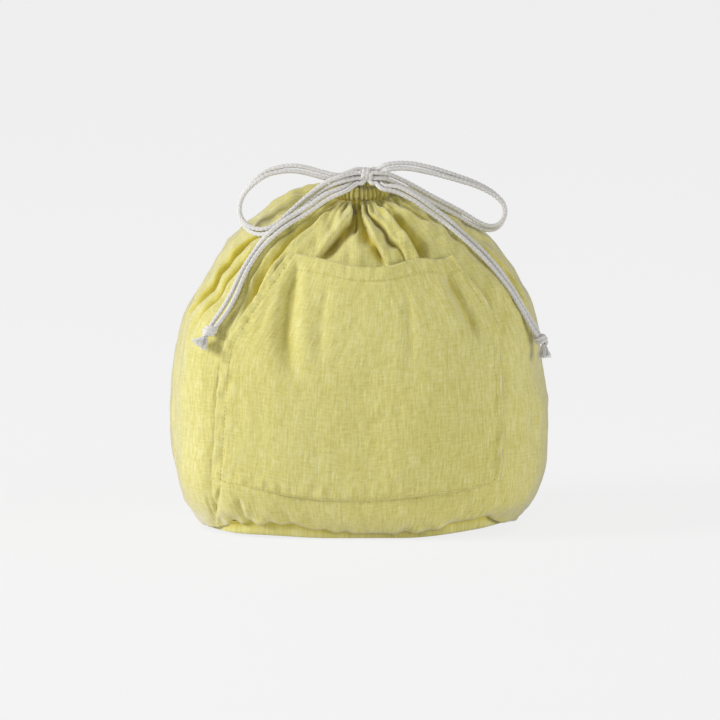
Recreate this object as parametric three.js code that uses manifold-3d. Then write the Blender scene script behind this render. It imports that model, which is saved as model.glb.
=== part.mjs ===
// A linen drawstring pouch that keeps the contents of a purse together: two gathered body
// panels on a flat base, a patch pocket on the front, a gathered casing round the mouth, and
// two doubled cords drawn through the casing and tied in a bow.
// Millimetres, +Z up, +X to the right and -Y to the front, with the origin on the floor under
// the middle of the base.
import * as THREE from "three";
import { mergeVertices } from "three/addons/utils/BufferGeometryUtils.js";
import Module from "manifold-3d";

const wasm = await Module();
wasm.setup();

// Bag body as it stands filled: outside width, depth and height of each level
const BASE_WIDTH = 211;
const BASE_DEPTH = 126;
const HEEL_WIDTH = 237;
const HEEL_DEPTH = 149;
const HEEL_HEIGHT = 20;
const BELLY_WIDTH = 251;
const BELLY_DEPTH = 162;
const BELLY_HEIGHT = 74;
const SHOULDER_WIDTH = 238;
const SHOULDER_DEPTH = 148;
const SHOULDER_HEIGHT = 137;
const YOKE_WIDTH = 172;
const YOKE_DEPTH = 110;
const YOKE_HEIGHT = 192;
const CREST_WIDTH = 86;
const CREST_DEPTH = 64;
const CREST_HEIGHT = 217;
const NECK_HEIGHT = 220;
const BASE_SQUARENESS = 3.1; // exponent of the rounded plan, where 2 is an ellipse
const BELLY_SQUARENESS = 2.5;

// Cloth
const CLOTH = 1;
const BASE_THICKNESS = 1.6;
const SEAM_GAP = 0.3; // between two pieces that are sewn edge to edge or laid on each other
const PLEAT_COUNT = 20; // round the whole mouth
const PLEAT_DEPTH = 5;
const NECK_PLEAT_DEPTH = 1.2;

// Patch pocket on the front panel
const POCKET_FOOT_HEIGHT = 27; // lower edge at the middle of the front
const POCKET_FOOT_RISE = 10; // how much higher the lower edge is at its corners
const POCKET_TOP_HEIGHT = 180; // upper edge at the middle of the front
const POCKET_TOP_RISE = 8;
const POCKET_FOOT_SHARE = 0.77; // half width as a share of the body's half width
const POCKET_MOUTH_SHARE = 0.6;
const POCKET_MOUTH_SHIFT = 0.085; // middle of the mouth to the right of the front's middle, as a like share
const POCKET_TAPER_START = 0.45; // share of the pocket's height at which its sides start to lean in
const POCKET_TAPER_POWER = 1.4;
const POCKET_GAPE = 10; // how far the middle of the mouth stands off the panel
const POCKET_GAPE_START = 0.15; // share of the pocket's height at which it starts to stand off
const HEM_DEPTH = 10; // turned hem along the mouth
const HEM_THICKNESS = 0.8;

// Cords, casing and knots
const CORD_DIAMETER = 3.2;
const CORD_CLEARANCE = 0.4; // between a cord and what it runs in, lies on or lies beside
const CHANNEL_HEIGHT = 7; // inside of the casing
const MOUTH_RADIUS = 12.3; // clear hole left by the drawn casing
const CASING_END_ANGLE = 25; // half the gap between the casing halves at each side, degrees
const RING_OVERRUN = 7; // how far a cord keeps to its ring past the end of the casing, degrees
const CASING_FLUTE = 0.9; // how far every other gather stands out on the casing
const CASING_ROUNDNESS = 0.6; // of its section, where 1 is an ellipse and 0 is a rectangle
const BOW_X = 5; // place of the bow knot across the front
const TAIL_ROOT_LENGTH = 14; // from the bow knot to where a tail starts to lift
const TAIL_DROP = 5.1; // how far below the middle of the bow knot the tails leave it
const END_KNOT_RADIUS = 4.4;
const END_KNOT_LENGTH = 8.5;
const END_KNOT_TURNS = 3;
const END_KNOT_GROOVE = 0.14; // depth between the turns as a share of the radius
const TUFT_RADIUS = 4.6;
const TUFT_LENGTH = 9;

// Sizes that follow from those above
const CORD_RADIUS = CORD_DIAMETER / 2;
const STRAND_PITCH = CORD_DIAMETER + CORD_CLEARANCE;
const HALF_PITCH = STRAND_PITCH / 2;
const CHANNEL_WIDTH = 2 * CORD_DIAMETER + 3 * CORD_CLEARANCE;
const CASING_WIDTH = CHANNEL_WIDTH + 2 * CLOTH;
const CASING_HEIGHT = CHANNEL_HEIGHT + 2 * CLOTH;
const CASING_RADIUS = MOUTH_RADIUS + CASING_WIDTH / 2;
const CASING_FOOT = NECK_HEIGHT + SEAM_GAP;
const CASING_MIDDLE = CASING_FOOT + CASING_HEIGHT / 2;
const INNER_CORD_RADIUS = CASING_RADIUS - HALF_PITCH;
const OUTER_CORD_RADIUS = CASING_RADIUS + HALF_PITCH;
const WRAP_RADIUS = STRAND_PITCH; // of the strands wound round the middle of the bow
const KNOT_RADIUS = WRAP_RADIUS + CORD_RADIUS;
const KNOT_HALF_WIDTH = HALF_PITCH + CORD_RADIUS;
const KNOT_CENTRE = new THREE.Vector3(
  BOW_X,
  -CASING_RADIUS - CORD_RADIUS,
  CASING_FOOT + CASING_HEIGHT + KNOT_RADIUS + CORD_DIAMETER,
);

// How finely the surfaces are cut
const PANEL_COLUMNS = 40;
const PANEL_ROWS = 15;
const POCKET_COLUMNS = 18;
const POCKET_ROWS = 12;
const BASE_POINTS = 64;
const CASING_STEPS = 22;
const CASING_SIDES = 10;
const CORD_STEP = 2.6 * CORD_DIAMETER;
const RING_STEP = 1.2 * CORD_DIAMETER; // the drawn ring is tightly curved
const RING_POINTS = 26;
const ROOT_POINTS = 5;
const CORD_SIDES = 8;
const WRAP_SIDES = 8;
const WRAP_STEPS = 20;
const LATHE_SEGMENTS = 14;
const END_KNOT_POINTS = 12;

const linen = new THREE.MeshStandardMaterial({ color: 0xd6cd7e, roughness: 0.92, metalness: 0 });
const cotton = new THREE.MeshStandardMaterial({ color: 0xe9e6e1, roughness: 0.85, metalness: 0 });

const pouch = new THREE.Group();

function addPiece(name, geometry, material) {
  const mesh = new THREE.Mesh(geometry, material);
  mesh.name = name;
  pouch.add(mesh);
  return mesh;
}

// A closed wall between two grids of points, rows by columns, turned to face outwards
function shell(outer, inner, closedColumns) {
  const rows = outer.length;
  const columns = outer[0].length;
  const points = [...outer.flat(), ...inner.flat()];
  const at = (side, row, column) => side * rows * columns + row * columns + (column % columns);
  const index = [];
  const quad = (a, b, c, d) => index.push(a, b, c, a, c, d);
  const lastColumn = closedColumns ? columns : columns - 1;
  for (let row = 0; row + 1 < rows; row++) {
    for (let column = 0; column < lastColumn; column++) {
      const next = column + 1;
      quad(at(0, row, column), at(0, row, next), at(0, row + 1, next), at(0, row + 1, column));
      quad(at(1, row, column), at(1, row + 1, column), at(1, row + 1, next), at(1, row, next));
    }
  }
  for (let column = 0; column < lastColumn; column++) {
    const top = rows - 1;
    quad(at(1, 0, column), at(1, 0, column + 1), at(0, 0, column + 1), at(0, 0, column));
    quad(at(0, top, column), at(0, top, column + 1), at(1, top, column + 1), at(1, top, column));
  }
  if (!closedColumns) {
    const end = columns - 1;
    for (let row = 0; row + 1 < rows; row++) {
      quad(at(0, row, 0), at(0, row + 1, 0), at(1, row + 1, 0), at(1, row, 0));
      quad(at(1, row, end), at(1, row + 1, end), at(0, row + 1, end), at(0, row, end));
    }
  }
  let sixVolumes = 0;
  for (let i = 0; i < index.length; i += 3) {
    const [a, b, c] = [points[index[i]], points[index[i + 1]], points[index[i + 2]]];
    sixVolumes += a.dot(b.clone().cross(c));
  }
  if (sixVolumes < 0) index.reverse();
  return new THREE.BufferGeometry().setFromPoints(points).setIndex(index);
}

// Body levels from the base edge to the neck, as half width, half depth and height
const NECK_RADIUS = CASING_RADIUS + CASING_WIDTH / 2 - CLOTH;
const levels = new THREE.CatmullRomCurve3(
  [
    [BASE_WIDTH / 2, BASE_DEPTH / 2, BASE_THICKNESS + SEAM_GAP],
    [HEEL_WIDTH / 2, HEEL_DEPTH / 2, HEEL_HEIGHT],
    [BELLY_WIDTH / 2, BELLY_DEPTH / 2, BELLY_HEIGHT],
    [SHOULDER_WIDTH / 2, SHOULDER_DEPTH / 2, SHOULDER_HEIGHT],
    [YOKE_WIDTH / 2, YOKE_DEPTH / 2, YOKE_HEIGHT],
    [CREST_WIDTH / 2, CREST_DEPTH / 2, CREST_HEIGHT],
    [NECK_RADIUS, NECK_RADIUS, NECK_HEIGHT],
  ].map((level) => new THREE.Vector3(...level)),
  false,
  "centripetal",
);

// The plan is a rounded rectangle at the base and turns into a circle at the neck
function squareness(height) {
  const belly = THREE.MathUtils.smoothstep(height, 0, BELLY_HEIGHT);
  const neck = THREE.MathUtils.smoothstep(height, SHOULDER_HEIGHT, NECK_HEIGHT);
  const below = THREE.MathUtils.lerp(BASE_SQUARENESS, BELLY_SQUARENESS, belly);
  return THREE.MathUtils.lerp(below, 2, neck);
}

// A point of the plan at a level, at a turn about Z that is 0 at the right and 90 degrees behind
function planPoint(level, turn, exponent) {
  const across = Math.abs(Math.cos(turn) / level.x) ** exponent;
  const along = Math.abs(Math.sin(turn) / level.y) ** exponent;
  const radius = (across + along) ** (-1 / exponent);
  return new THREE.Vector3(radius * Math.cos(turn), radius * Math.sin(turn), level.z);
}

function bodyPoint(way, turn) {
  const level = levels.getPoint(way);
  return planPoint(level, turn, squareness(level.z));
}

function bodyNormal(way, turn) {
  const step = 1e-3;
  const low = Math.max(0, way - step);
  const high = Math.min(1, way + step);
  const up = bodyPoint(high, turn).sub(bodyPoint(low, turn));
  const round = bodyPoint(way, turn + step).sub(bodyPoint(way, turn - step));
  return round.cross(up).normalize();
}

// How far along the levels the body first reaches a height
function wayAtHeight(height) {
  let [low, high] = [0, 1];
  for (let halving = 0; halving < 40; halving++) {
    const middle = (low + high) / 2;
    if (levels.getPoint(middle).z < height) low = middle;
    else high = middle;
  }
  return low;
}

// Place and outward normal on the front of the body, at a share of its half width and a height
function frontPlace(share, height) {
  const way = wayAtHeight(height);
  const level = levels.getPoint(way);
  const exponent = squareness(level.z);
  const depth = (1 - Math.abs(share) ** exponent) ** (1 / exponent);
  const turn = Math.atan2(-level.y * depth, level.x * share);
  return { point: bodyPoint(way, turn), normal: bodyNormal(way, turn) };
}

// Gathers sink between evenly spaced ridges: none below the shoulder, deepest at the crest and
// shallow at the neck
function pleatDepth(way, turn) {
  const height = levels.getPoint(way).z;
  const crestWay = 5 / 6;
  const rise = THREE.MathUtils.smoothstep(height, SHOULDER_HEIGHT, CREST_HEIGHT);
  const close = THREE.MathUtils.smoothstep(way, crestWay, 1);
  const depth = THREE.MathUtils.lerp(PLEAT_DEPTH * rise, NECK_PLEAT_DEPTH, close);
  return (depth * (1 - Math.cos(PLEAT_COUNT * turn))) / 2;
}

function panelGeometry(startTurn) {
  const skins = [0, CLOTH].map((inset) =>
    Array.from({ length: PANEL_ROWS + 1 }, (_, row) => {
      const way = row / PANEL_ROWS;
      const edge = Math.asin(SEAM_GAP / 2 / levels.getPoint(way).x);
      return Array.from({ length: PANEL_COLUMNS + 1 }, (_, column) => {
        const turn = startTurn + edge + (column / PANEL_COLUMNS) * (Math.PI - 2 * edge);
        const sink = pleatDepth(way, turn) + inset;
        return bodyPoint(way, turn).addScaledVector(bodyNormal(way, turn), -sink);
      });
    }),
  );
  return shell(skins[0], skins[1], false);
}

function baseGeometry() {
  const level = new THREE.Vector3(BASE_WIDTH / 2, BASE_DEPTH / 2, 0);
  const outline = Array.from({ length: BASE_POINTS }, (_, i) => {
    const corner = planPoint(level, (i / BASE_POINTS) * 2 * Math.PI, BASE_SQUARENESS);
    return new THREE.Vector2(corner.x, corner.y);
  });
  const shape = new THREE.Shape(outline);
  return new THREE.ExtrudeGeometry(shape, { depth: BASE_THICKNESS, bevelEnabled: false });
}

// The patch is sewn down at its sides and foot, and its sides lean in towards its mouth
function pocketPlace(across, up) {
  const foot = POCKET_FOOT_HEIGHT + POCKET_FOOT_RISE * across * across;
  const top = POCKET_TOP_HEIGHT + POCKET_TOP_RISE * across * across;
  const taper = Math.max(0, (up - POCKET_TAPER_START) / (1 - POCKET_TAPER_START)) ** POCKET_TAPER_POWER;
  const halfShare = THREE.MathUtils.lerp(POCKET_FOOT_SHARE, POCKET_MOUTH_SHARE, taper);
  return frontPlace(across * halfShare + POCKET_MOUTH_SHIFT * taper, foot + (top - foot) * up);
}

// The middle of the patch stands off the panel, most at the mouth
function pocketGape(across, up) {
  return POCKET_GAPE * (1 - across * across) ** 2 * THREE.MathUtils.smoothstep(up, POCKET_GAPE_START, 1);
}

function pocketGeometry() {
  const pocketHeight = POCKET_TOP_HEIGHT - POCKET_FOOT_HEIGHT;
  const hemStart = 1 - HEM_DEPTH / pocketHeight;
  const ups = Array.from({ length: POCKET_ROWS }, (_, row) => (row / (POCKET_ROWS - 1)) * hemStart);
  ups.push(hemStart + HEM_THICKNESS / pocketHeight, 1);
  const skins = [1, 0].map((outside) =>
    ups.map((up) =>
      Array.from({ length: POCKET_COLUMNS + 1 }, (_, column) => {
        const across = (2 * column) / POCKET_COLUMNS - 1;
        const { point, normal } = pocketPlace(across, up);
        const cloth = up > hemStart ? CLOTH + HEM_THICKNESS : CLOTH;
        return point.addScaledVector(normal, SEAM_GAP + pocketGape(across, up) + outside * cloth);
      }),
    ),
  );
  return shell(skins[0], skins[1], false);
}

// Half of the drawn casing: a fluted channel, open at both ends, that the cords run in
function casingGeometry(startDegrees) {
  const rounded = (value) => Math.sign(value) * Math.abs(value) ** CASING_ROUNDNESS;
  const span = 180 - 2 * CASING_END_ANGLE;
  const skins = [0, CLOTH].map((wall) =>
    Array.from({ length: CASING_STEPS + 1 }, (_, step) => {
      const degrees = startDegrees + CASING_END_ANGLE + (step / CASING_STEPS) * span;
      const turn = THREE.MathUtils.degToRad(degrees);
      const flute = wall ? 0 : CASING_FLUTE * (step % 2);
      return Array.from({ length: CASING_SIDES }, (_, side) => {
        const bend = ((side + 0.5) / CASING_SIDES) * 2 * Math.PI;
        const out = (CASING_WIDTH / 2 - wall) * rounded(Math.cos(bend)) + flute * Math.cos(bend);
        const radius = CASING_RADIUS + out;
        const height = CASING_MIDDLE + (CASING_HEIGHT / 2 - wall) * rounded(Math.sin(bend));
        return new THREE.Vector3(radius * Math.cos(turn), radius * Math.sin(turn), height);
      });
    }),
  );
  return shell(skins[0], skins[1], true);
}

function cordGeometry(points, stepLength) {
  const path = new THREE.CatmullRomCurve3(points, false, "centripetal");
  const section = new THREE.Shape();
  section.absarc(0, 0, CORD_RADIUS, 0, 2 * Math.PI);
  return new THREE.ExtrudeGeometry(section, {
    steps: Math.ceil(path.getLength() / stepLength),
    curveSegments: CORD_SIDES / 2,
    bevelEnabled: false,
    extrudePath: path,
  });
}

const fromKnot = (x, y, z) => new THREE.Vector3(x, y, z).add(KNOT_CENTRE);
const place = (x, y, z) => new THREE.Vector3(x, y, z);

// The drawcords between the bow and the ends of the casing, in the order that each cord runs
const LEFT_LEAD_IN = [
  [0, -9, 236.2],
  [-4, -4, 235.4],
  [-7.5, 1, 232.8],
  [-11.5, 1, 228.8],
  [-14.6, -2.5, 226.2],
];
const LEFT_LEAD_OUT = [
  [-15.2, 3.2, 228],
  [-15, -1.5, 231.8],
  [-11, -5, 235.5],
  [-4, -9, 239.2],
];
const RIGHT_LEAD_IN = [
  [7, -10, 236.2],
  [8.5, -5, 236],
  [11.5, 0, 234],
  [15.6, -0.6, 230.4],
  [18, -4.2, 226.5],
];
const RIGHT_LEAD_OUT = [
  [18.8, 4, 227.2],
  [19.6, -1, 231.2],
  [15, -5, 236],
  [10, -9.5, 239.2],
];

// A drawcord leaves the back of the bow, runs right round inside the casing and comes back to the bow
function drawcordPoints(side, radius, leadIn, leadOut) {
  const ringEnd = CASING_END_ANGLE - RING_OVERRUN;
  const sweep = 360 - 2 * ringEnd;
  const start = side < 0 ? 180 : 0;
  const ring = Array.from({ length: RING_POINTS + 1 }, (_, i) => {
    const turn = THREE.MathUtils.degToRad(start - side * (ringEnd + (i / RING_POINTS) * sweep));
    return place(radius * Math.cos(turn), radius * Math.sin(turn), CASING_MIDDLE);
  });
  const leads = [leadIn, leadOut].map((lead) => lead.map((point) => place(...point)));
  const seat = (rise) => fromKnot(side * HALF_PITCH, KNOT_RADIUS + 2 * CORD_CLEARANCE, rise);
  return [seat(-HALF_PITCH), ...leads[0], ...ring, ...leads[1], seat(HALF_PITCH)];
}

// The loops of the bow: x, y, z of the pair's middle, and the lean of one strand over the other
// in degrees
const LEFT_LOOP = [
  [-13, -19.5, 236, 0],
  [-25, -18.2, 238, 0],
  [-34.5, -17.3, 240.5, 10],
  [-43.5, -17, 241.9, 22],
  [-52.3, -17, 241.2, 38],
  [-61.3, -17, 238.6, 55],
  [-69.8, -17.5, 232.6, 72],
  [-76.4, -18.5, 225, 90],
  [-79.4, -20.5, 217.2, 100],
  [-78.6, -22.5, 209.8, 118],
  [-74.6, -25.8, 204.3, 150],
  [-67.5, -30.2, 201.6, 185],
  [-60, -33.4, 202.9, 215],
  [-53.5, -32.9, 206.4, 225],
  [-46.4, -30, 212, 212],
  [-38.8, -27, 218.6, 190],
  [-31.1, -25.5, 225.2, 180],
  [-21.5, -24.3, 232, 180],
  [-11, -23.4, 236.2, 180],
];
const RIGHT_LOOP = [
  [17.3, -19, 242.6, 0],
  [24, -18.3, 243.7, 0],
  [33, -17, 243.5, 8],
  [47.6, -15, 240.3, 25],
  [56.5, -14, 237.6, 38],
  [65.4, -13, 234.7, 50],
  [74.4, -12, 231.5, 62],
  [83.3, -11, 227.4, 74],
  [90.4, -10.5, 222.8, 84],
  [95.8, -10, 216.8, 92],
  [97, -9.5, 211, 98],
  [94.9, -9, 204.8, 115],
  [91, -8.7, 201.2, 130],
  [85.5, -8.5, 200.4, 148],
  [78.5, -8.5, 202.9, 165],
  [65.4, -9.3, 210.8, 180],
  [47.6, -11.5, 220.6, 180],
  [30.2, -15.8, 231, 180],
  [17.3, -19, 237, 180],
];

// The tails first run through the air, written like the loops, and then lie on the body: share of its
// half width, share of its height, and how far apart the strands lie in pitches
const LEFT_TAIL_AIR = [
  [-9, -26.8, 229.9, 34],
  [-21.5, -30.8, 225.2, 74],
  [-31.1, -32.6, 218.9, 85],
  [-38.8, -34, 214, 80],
  [-46.4, -36.2, 209.9, 80],
  [-54, -38.2, 204.6, 75],
  [-61.5, -39.8, 198, 60],
];
const LEFT_TAIL_LAID = [
  [-0.753, 0.861, 1],
  [-0.761, 0.805, 1],
  [-0.762, 0.737, 1.2],
  [-0.776, 0.694, 1.3],
  [-0.797, 0.643, 1.05],
];
const RIGHT_TAIL_AIR = [
  [15.5, -25, 230.7, 30],
  [25.5, -26, 229, 72],
  [37.9, -27.5, 223, 85],
  [47.3, -27, 216, 70],
  [56.8, -26.8, 209, 60],
];
const RIGHT_TAIL_LAID = [
  [0.844, 0.91, 1.25],
  [0.882, 0.838, 1.25],
  [0.922, 0.736, 1.1],
  [0.937, 0.673, 1.05],
  [0.947, 0.602, 1.05],
];

// Strands meet the bow knot square to its left or right face
function atKnotFace(side, y, z) {
  const reach = KNOT_HALF_WIDTH + CORD_CLEARANCE;
  return [reach, reach + CORD_DIAMETER].map((x) => fromKnot(side * x, y, z));
}

function loopStrands(stations, side) {
  const starts = atKnotFace(side, CORD_RADIUS, HALF_PITCH);
  const ends = atKnotFace(side, CORD_RADIUS - STRAND_PITCH, 0).reverse();
  const pairs = [
    ...starts.map((middle) => ({ middle, degrees: 0 })),
    ...stations.map(([x, y, z, degrees]) => ({ middle: place(x, y, z), degrees })),
    ...ends.map((middle) => ({ middle, degrees: 180 })),
  ];
  const runAt = (i) => pairs[i + 1].middle.clone().sub(pairs[i - 1].middle).normalize();
  return [1, -1].map((strand) =>
    pairs.map(({ middle, degrees }, i) => {
      const lean = THREE.MathUtils.degToRad(degrees);
      const aside = place(0, Math.sin(lean), Math.cos(lean));
      if (i > 1 && i < pairs.length - 2) aside.projectOnPlane(runAt(i)).normalize();
      return middle.clone().addScaledVector(aside, strand * HALF_PITCH);
    }),
  );
}

function tailStations(air, laid, side) {
  const starts = atKnotFace(side, -HALF_PITCH, -TAIL_DROP).map((middle) => ({ middle, degrees: 0 }));
  const aloft = air.map(([x, y, z, degrees]) => ({ middle: place(x, y, z), degrees }));
  const offBody = [...starts, ...aloft].map(({ middle, degrees }) => {
    const lean = THREE.MathUtils.degToRad(degrees);
    return { middle, normal: place(0, -Math.sin(lean), Math.cos(lean)), spread: 1 };
  });
  const onBody = laid.map(([share, rise, spread], i) => {
    const { point, normal } = frontPlace(share, rise * NECK_HEIGHT);
    const lift = i + 1 < laid.length ? CORD_RADIUS : END_KNOT_RADIUS;
    return { middle: point.addScaledVector(normal, lift + CORD_CLEARANCE), normal, spread };
  });
  return [...offBody, ...onBody];
}

function tailStrands(stations) {
  return [1, -1].map((strand) =>
    stations.map(({ middle, normal, spread }, i) => {
      const before = stations[Math.max(0, i - 1)].middle;
      const after = stations[Math.min(stations.length - 1, i + 1)].middle;
      const across = normal.clone().cross(after.clone().sub(before)).normalize();
      return middle.clone().addScaledVector(across, strand * HALF_PITCH * spread);
    }),
  );
}

// A tail bends where it leaves the bow, so its strands are cut there into a fixed root and a free
// length
function cutAtRoot(points) {
  const path = new THREE.CatmullRomCurve3(points, false, "centripetal");
  const shareAt = (distance) => distance / path.getLength();
  const stretch = (from, to, steps) =>
    Array.from({ length: steps + 1 }, (_, i) => path.getPointAt(THREE.MathUtils.lerp(from, to, i / steps)));
  return {
    root: stretch(0, shareAt(TAIL_ROOT_LENGTH), ROOT_POINTS),
    free: stretch(shareAt(TAIL_ROOT_LENGTH + 2 * CORD_CLEARANCE), 1, 2 * points.length),
  };
}

function solidOf(geometry) {
  const bare = geometry.clone();
  bare.deleteAttribute("normal");
  bare.deleteAttribute("uv");
  const merged = mergeVertices(bare, 1e-4);
  const mesh = new wasm.Mesh({
    numProp: 3,
    vertProperties: merged.attributes.position.array,
    triVerts: new Uint32Array(merged.index.array),
  });
  return new wasm.Manifold(mesh);
}

function geometryOf(solid) {
  const mesh = solid.getMesh();
  return new THREE.BufferGeometry()
    .setAttribute("position", new THREE.BufferAttribute(mesh.vertProperties, 3))
    .setIndex(new THREE.BufferAttribute(mesh.triVerts, 1));
}

// Two strands wound side by side round the crossing of the loops
function bowKnotGeometry() {
  const core = new THREE.SphereGeometry(WRAP_RADIUS, LATHE_SEGMENTS, LATHE_SEGMENTS / 2);
  const wraps = [-HALF_PITCH, HALF_PITCH].map((shift) => {
    const wrap = new THREE.TorusGeometry(WRAP_RADIUS, CORD_RADIUS, WRAP_SIDES, WRAP_STEPS);
    return wrap.rotateY(Math.PI / 2).translate(shift, 0, 0);
  });
  return geometryOf(wraps.reduce((solid, wrap) => solid.add(solidOf(wrap)), solidOf(core)));
}

// An overhand knot tied in both strands, with the turns showing as rounds
function endKnotGeometry() {
  const profile = Array.from({ length: END_KNOT_POINTS + 1 }, (_, i) => {
    const along = (2 * i) / END_KNOT_POINTS - 1;
    const belly = Math.sqrt(Math.max(0, 1 - along * along));
    const groove = (END_KNOT_GROOVE / 2) * (1 - Math.cos(Math.PI * END_KNOT_TURNS * along));
    return new THREE.Vector2(END_KNOT_RADIUS * belly * (1 - groove), (END_KNOT_LENGTH / 2) * along);
  });
  return new THREE.LatheGeometry(profile, LATHE_SEGMENTS);
}

// The cut ends of both strands, combed out below the knot
function tuftGeometry() {
  const profile = [
    [0, -TUFT_LENGTH],
    [0.7 * TUFT_RADIUS, -TUFT_LENGTH],
    [TUFT_RADIUS, -0.86 * TUFT_LENGTH],
    [0.82 * TUFT_RADIUS, -0.5 * TUFT_LENGTH],
    [CORD_RADIUS, -0.12 * TUFT_LENGTH],
    [0.8 * CORD_RADIUS, 0],
    [0, 0],
  ].map(([radius, height]) => new THREE.Vector2(radius, height));
  return new THREE.LatheGeometry(profile, LATHE_SEGMENTS);
}

// Turns and moves a piece whose +Y runs back up the tail
function hangFrom(mesh, top, direction) {
  mesh.quaternion.setFromUnitVectors(place(0, 1, 0), direction.clone().negate());
  mesh.position.copy(top);
}

addPiece("front_panel", panelGeometry(Math.PI), linen);
addPiece("back_panel", panelGeometry(0), linen);
addPiece("bottom_panel", baseGeometry(), linen);
addPiece("front_pocket", pocketGeometry(), linen);
addPiece("front_casing", casingGeometry(180), linen);
addPiece("back_casing", casingGeometry(0), linen);

const leftDrawcord = drawcordPoints(-1, INNER_CORD_RADIUS, LEFT_LEAD_IN, LEFT_LEAD_OUT);
addPiece("left_drawcord", cordGeometry(leftDrawcord, RING_STEP), cotton);
const rightDrawcord = drawcordPoints(1, OUTER_CORD_RADIUS, RIGHT_LEAD_IN, RIGHT_LEAD_OUT);
addPiece("right_drawcord", cordGeometry(rightDrawcord, RING_STEP), cotton);

const bowKnot = addPiece("bow_knot", bowKnotGeometry(), cotton);
bowKnot.position.copy(KNOT_CENTRE);

const sides = [
  { name: "left", side: -1, loop: LEFT_LOOP, air: LEFT_TAIL_AIR, laid: LEFT_TAIL_LAID },
  { name: "right", side: 1, loop: RIGHT_LOOP, air: RIGHT_TAIL_AIR, laid: RIGHT_TAIL_LAID },
];
for (const { name, side, loop, air, laid } of sides) {
  loopStrands(loop, side).forEach((points, i) => {
    addPiece(`${name}_loop_strand_${i + 1}`, cordGeometry(points, CORD_STEP), cotton);
  });
  const stations = tailStations(air, laid, side);
  tailStrands(stations).forEach((points, i) => {
    const { root, free } = cutAtRoot(points);
    addPiece(`${name}_tail_root_${i + 1}`, cordGeometry(root, CORD_STEP), cotton);
    addPiece(`${name}_tail_strand_${i + 1}`, cordGeometry(free, CORD_STEP), cotton);
  });
  const end = stations[stations.length - 1];
  const direction = end.middle.clone().sub(stations[stations.length - 2].middle).normalize();
  const alongTail = (distance) => end.middle.clone().addScaledVector(direction, distance);
  const knot = addPiece(`${name}_end_knot`, endKnotGeometry(), cotton);
  hangFrom(knot, alongTail((END_KNOT_LENGTH + CORD_CLEARANCE) / 2), direction);
  const tuft = addPiece(`${name}_tuft`, tuftGeometry(), cotton);
  hangFrom(tuft, alongTail(END_KNOT_LENGTH + 1.5 * CORD_CLEARANCE), direction);
}

export default pouch;
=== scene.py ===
import math

import bpy
import numpy as np
from mathutils import Matrix, Vector


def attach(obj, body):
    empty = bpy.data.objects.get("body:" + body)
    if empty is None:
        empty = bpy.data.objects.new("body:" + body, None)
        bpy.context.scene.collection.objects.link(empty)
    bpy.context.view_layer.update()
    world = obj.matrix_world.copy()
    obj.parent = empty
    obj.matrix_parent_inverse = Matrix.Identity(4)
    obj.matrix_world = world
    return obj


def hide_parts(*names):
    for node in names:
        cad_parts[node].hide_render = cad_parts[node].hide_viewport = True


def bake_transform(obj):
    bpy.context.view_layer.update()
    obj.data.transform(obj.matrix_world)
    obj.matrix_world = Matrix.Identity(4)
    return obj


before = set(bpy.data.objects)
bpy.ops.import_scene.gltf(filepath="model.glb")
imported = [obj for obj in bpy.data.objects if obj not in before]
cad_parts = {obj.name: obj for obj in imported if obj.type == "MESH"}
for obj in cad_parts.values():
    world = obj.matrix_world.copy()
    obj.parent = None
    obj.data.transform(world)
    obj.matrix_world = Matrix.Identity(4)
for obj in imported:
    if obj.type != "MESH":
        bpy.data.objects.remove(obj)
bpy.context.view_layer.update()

# The photograph's frame and the camera that looks at it
IMAGE_SIDE = 720
CAMERA_DISTANCE = 10.0
CAMERA_ELEVATION = math.radians(10)
CAMERA_TARGET = np.array((0.0005, 0.0, 0.1097))
CAMERA_LENS = 750.0
CAMERA_SENSOR = 36.0

# Body levels from the base edge to the neck: half width, half depth and height
LEVELS = np.array((
    (0.1055, 0.0630, 0.0019),
    (0.1185, 0.0745, 0.0200),
    (0.1255, 0.0810, 0.0740),
    (0.1190, 0.0740, 0.1370),
    (0.0860, 0.0550, 0.1920),
    (0.0430, 0.0320, 0.2170),
    (0.0209, 0.0209, 0.2200),
))
BELLY_HEIGHT = 0.074
SHOULDER_HEIGHT = 0.137
NECK_HEIGHT = 0.220
BASE_SQUARENESS = 3.1
BELLY_SQUARENESS = 2.5

# Cloth: CLOTH is its thickness, and CLOTH_RADIUS turns an angle round the body into a width of weave
CLOTH = 0.0006
CLOTH_RADIUS = 0.105
CREASE_LENGTH = 0.030
PANEL_COLUMNS = 330
PANEL_ROWS = 240
PANEL_CRUMPLE = 0.00050
NECK_PLEATS = 46
NECK_PLEAT_DEPTH = 0.0018
NECK_PLEAT_REACH = 0.016
NECK_RADIUS = 0.0209
NECK_START = 0.955
NECK_PINCH = 0.0008
NECK_BEND_INSET = 0.0009
NECK_BEND_DROP = 0.0002
NECK_TUCK = 0.0016
CREST_LIFT = 0.006
LEFT_FULLNESS = 0.35
LEFT_CORNER_LIFT = 0.0013
RIGHT_CORNER_LIFT = 0.0056
CORNER_DRAW = 0.0026
SIDE_SEAM_DEPTH = 0.0006
SIDE_SEAM_WIDTH = 0.0012
# How far in the sides hang from the model's, over the height
LEFT_TRIM = ((0.118, 0.0), (0.145, 0.0016), (0.160, 0.0028), (0.178, 0.0024), (0.196, 0.0))
RIGHT_TRIM = (
    (0.085, 0.0), (0.112, 0.0034), (0.125, 0.0030), (0.140, 0.0008),
    (0.155, -0.0014), (0.172, -0.0024), (0.188, -0.0012), (0.200, 0.0),
)

# Folds: how deep they may add up, the lip and the hang of a steep side, how each side falls away, and
# the spacing of a fold's points in pixels
FOLD_LIMIT = 0.014
FOLD_LIP = 0.16
FOLD_HANG = 0.20
STEEP_POWER = 2.6
SOFT_POWER = 1.4
FOLD_SPACING = 1.5

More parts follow.
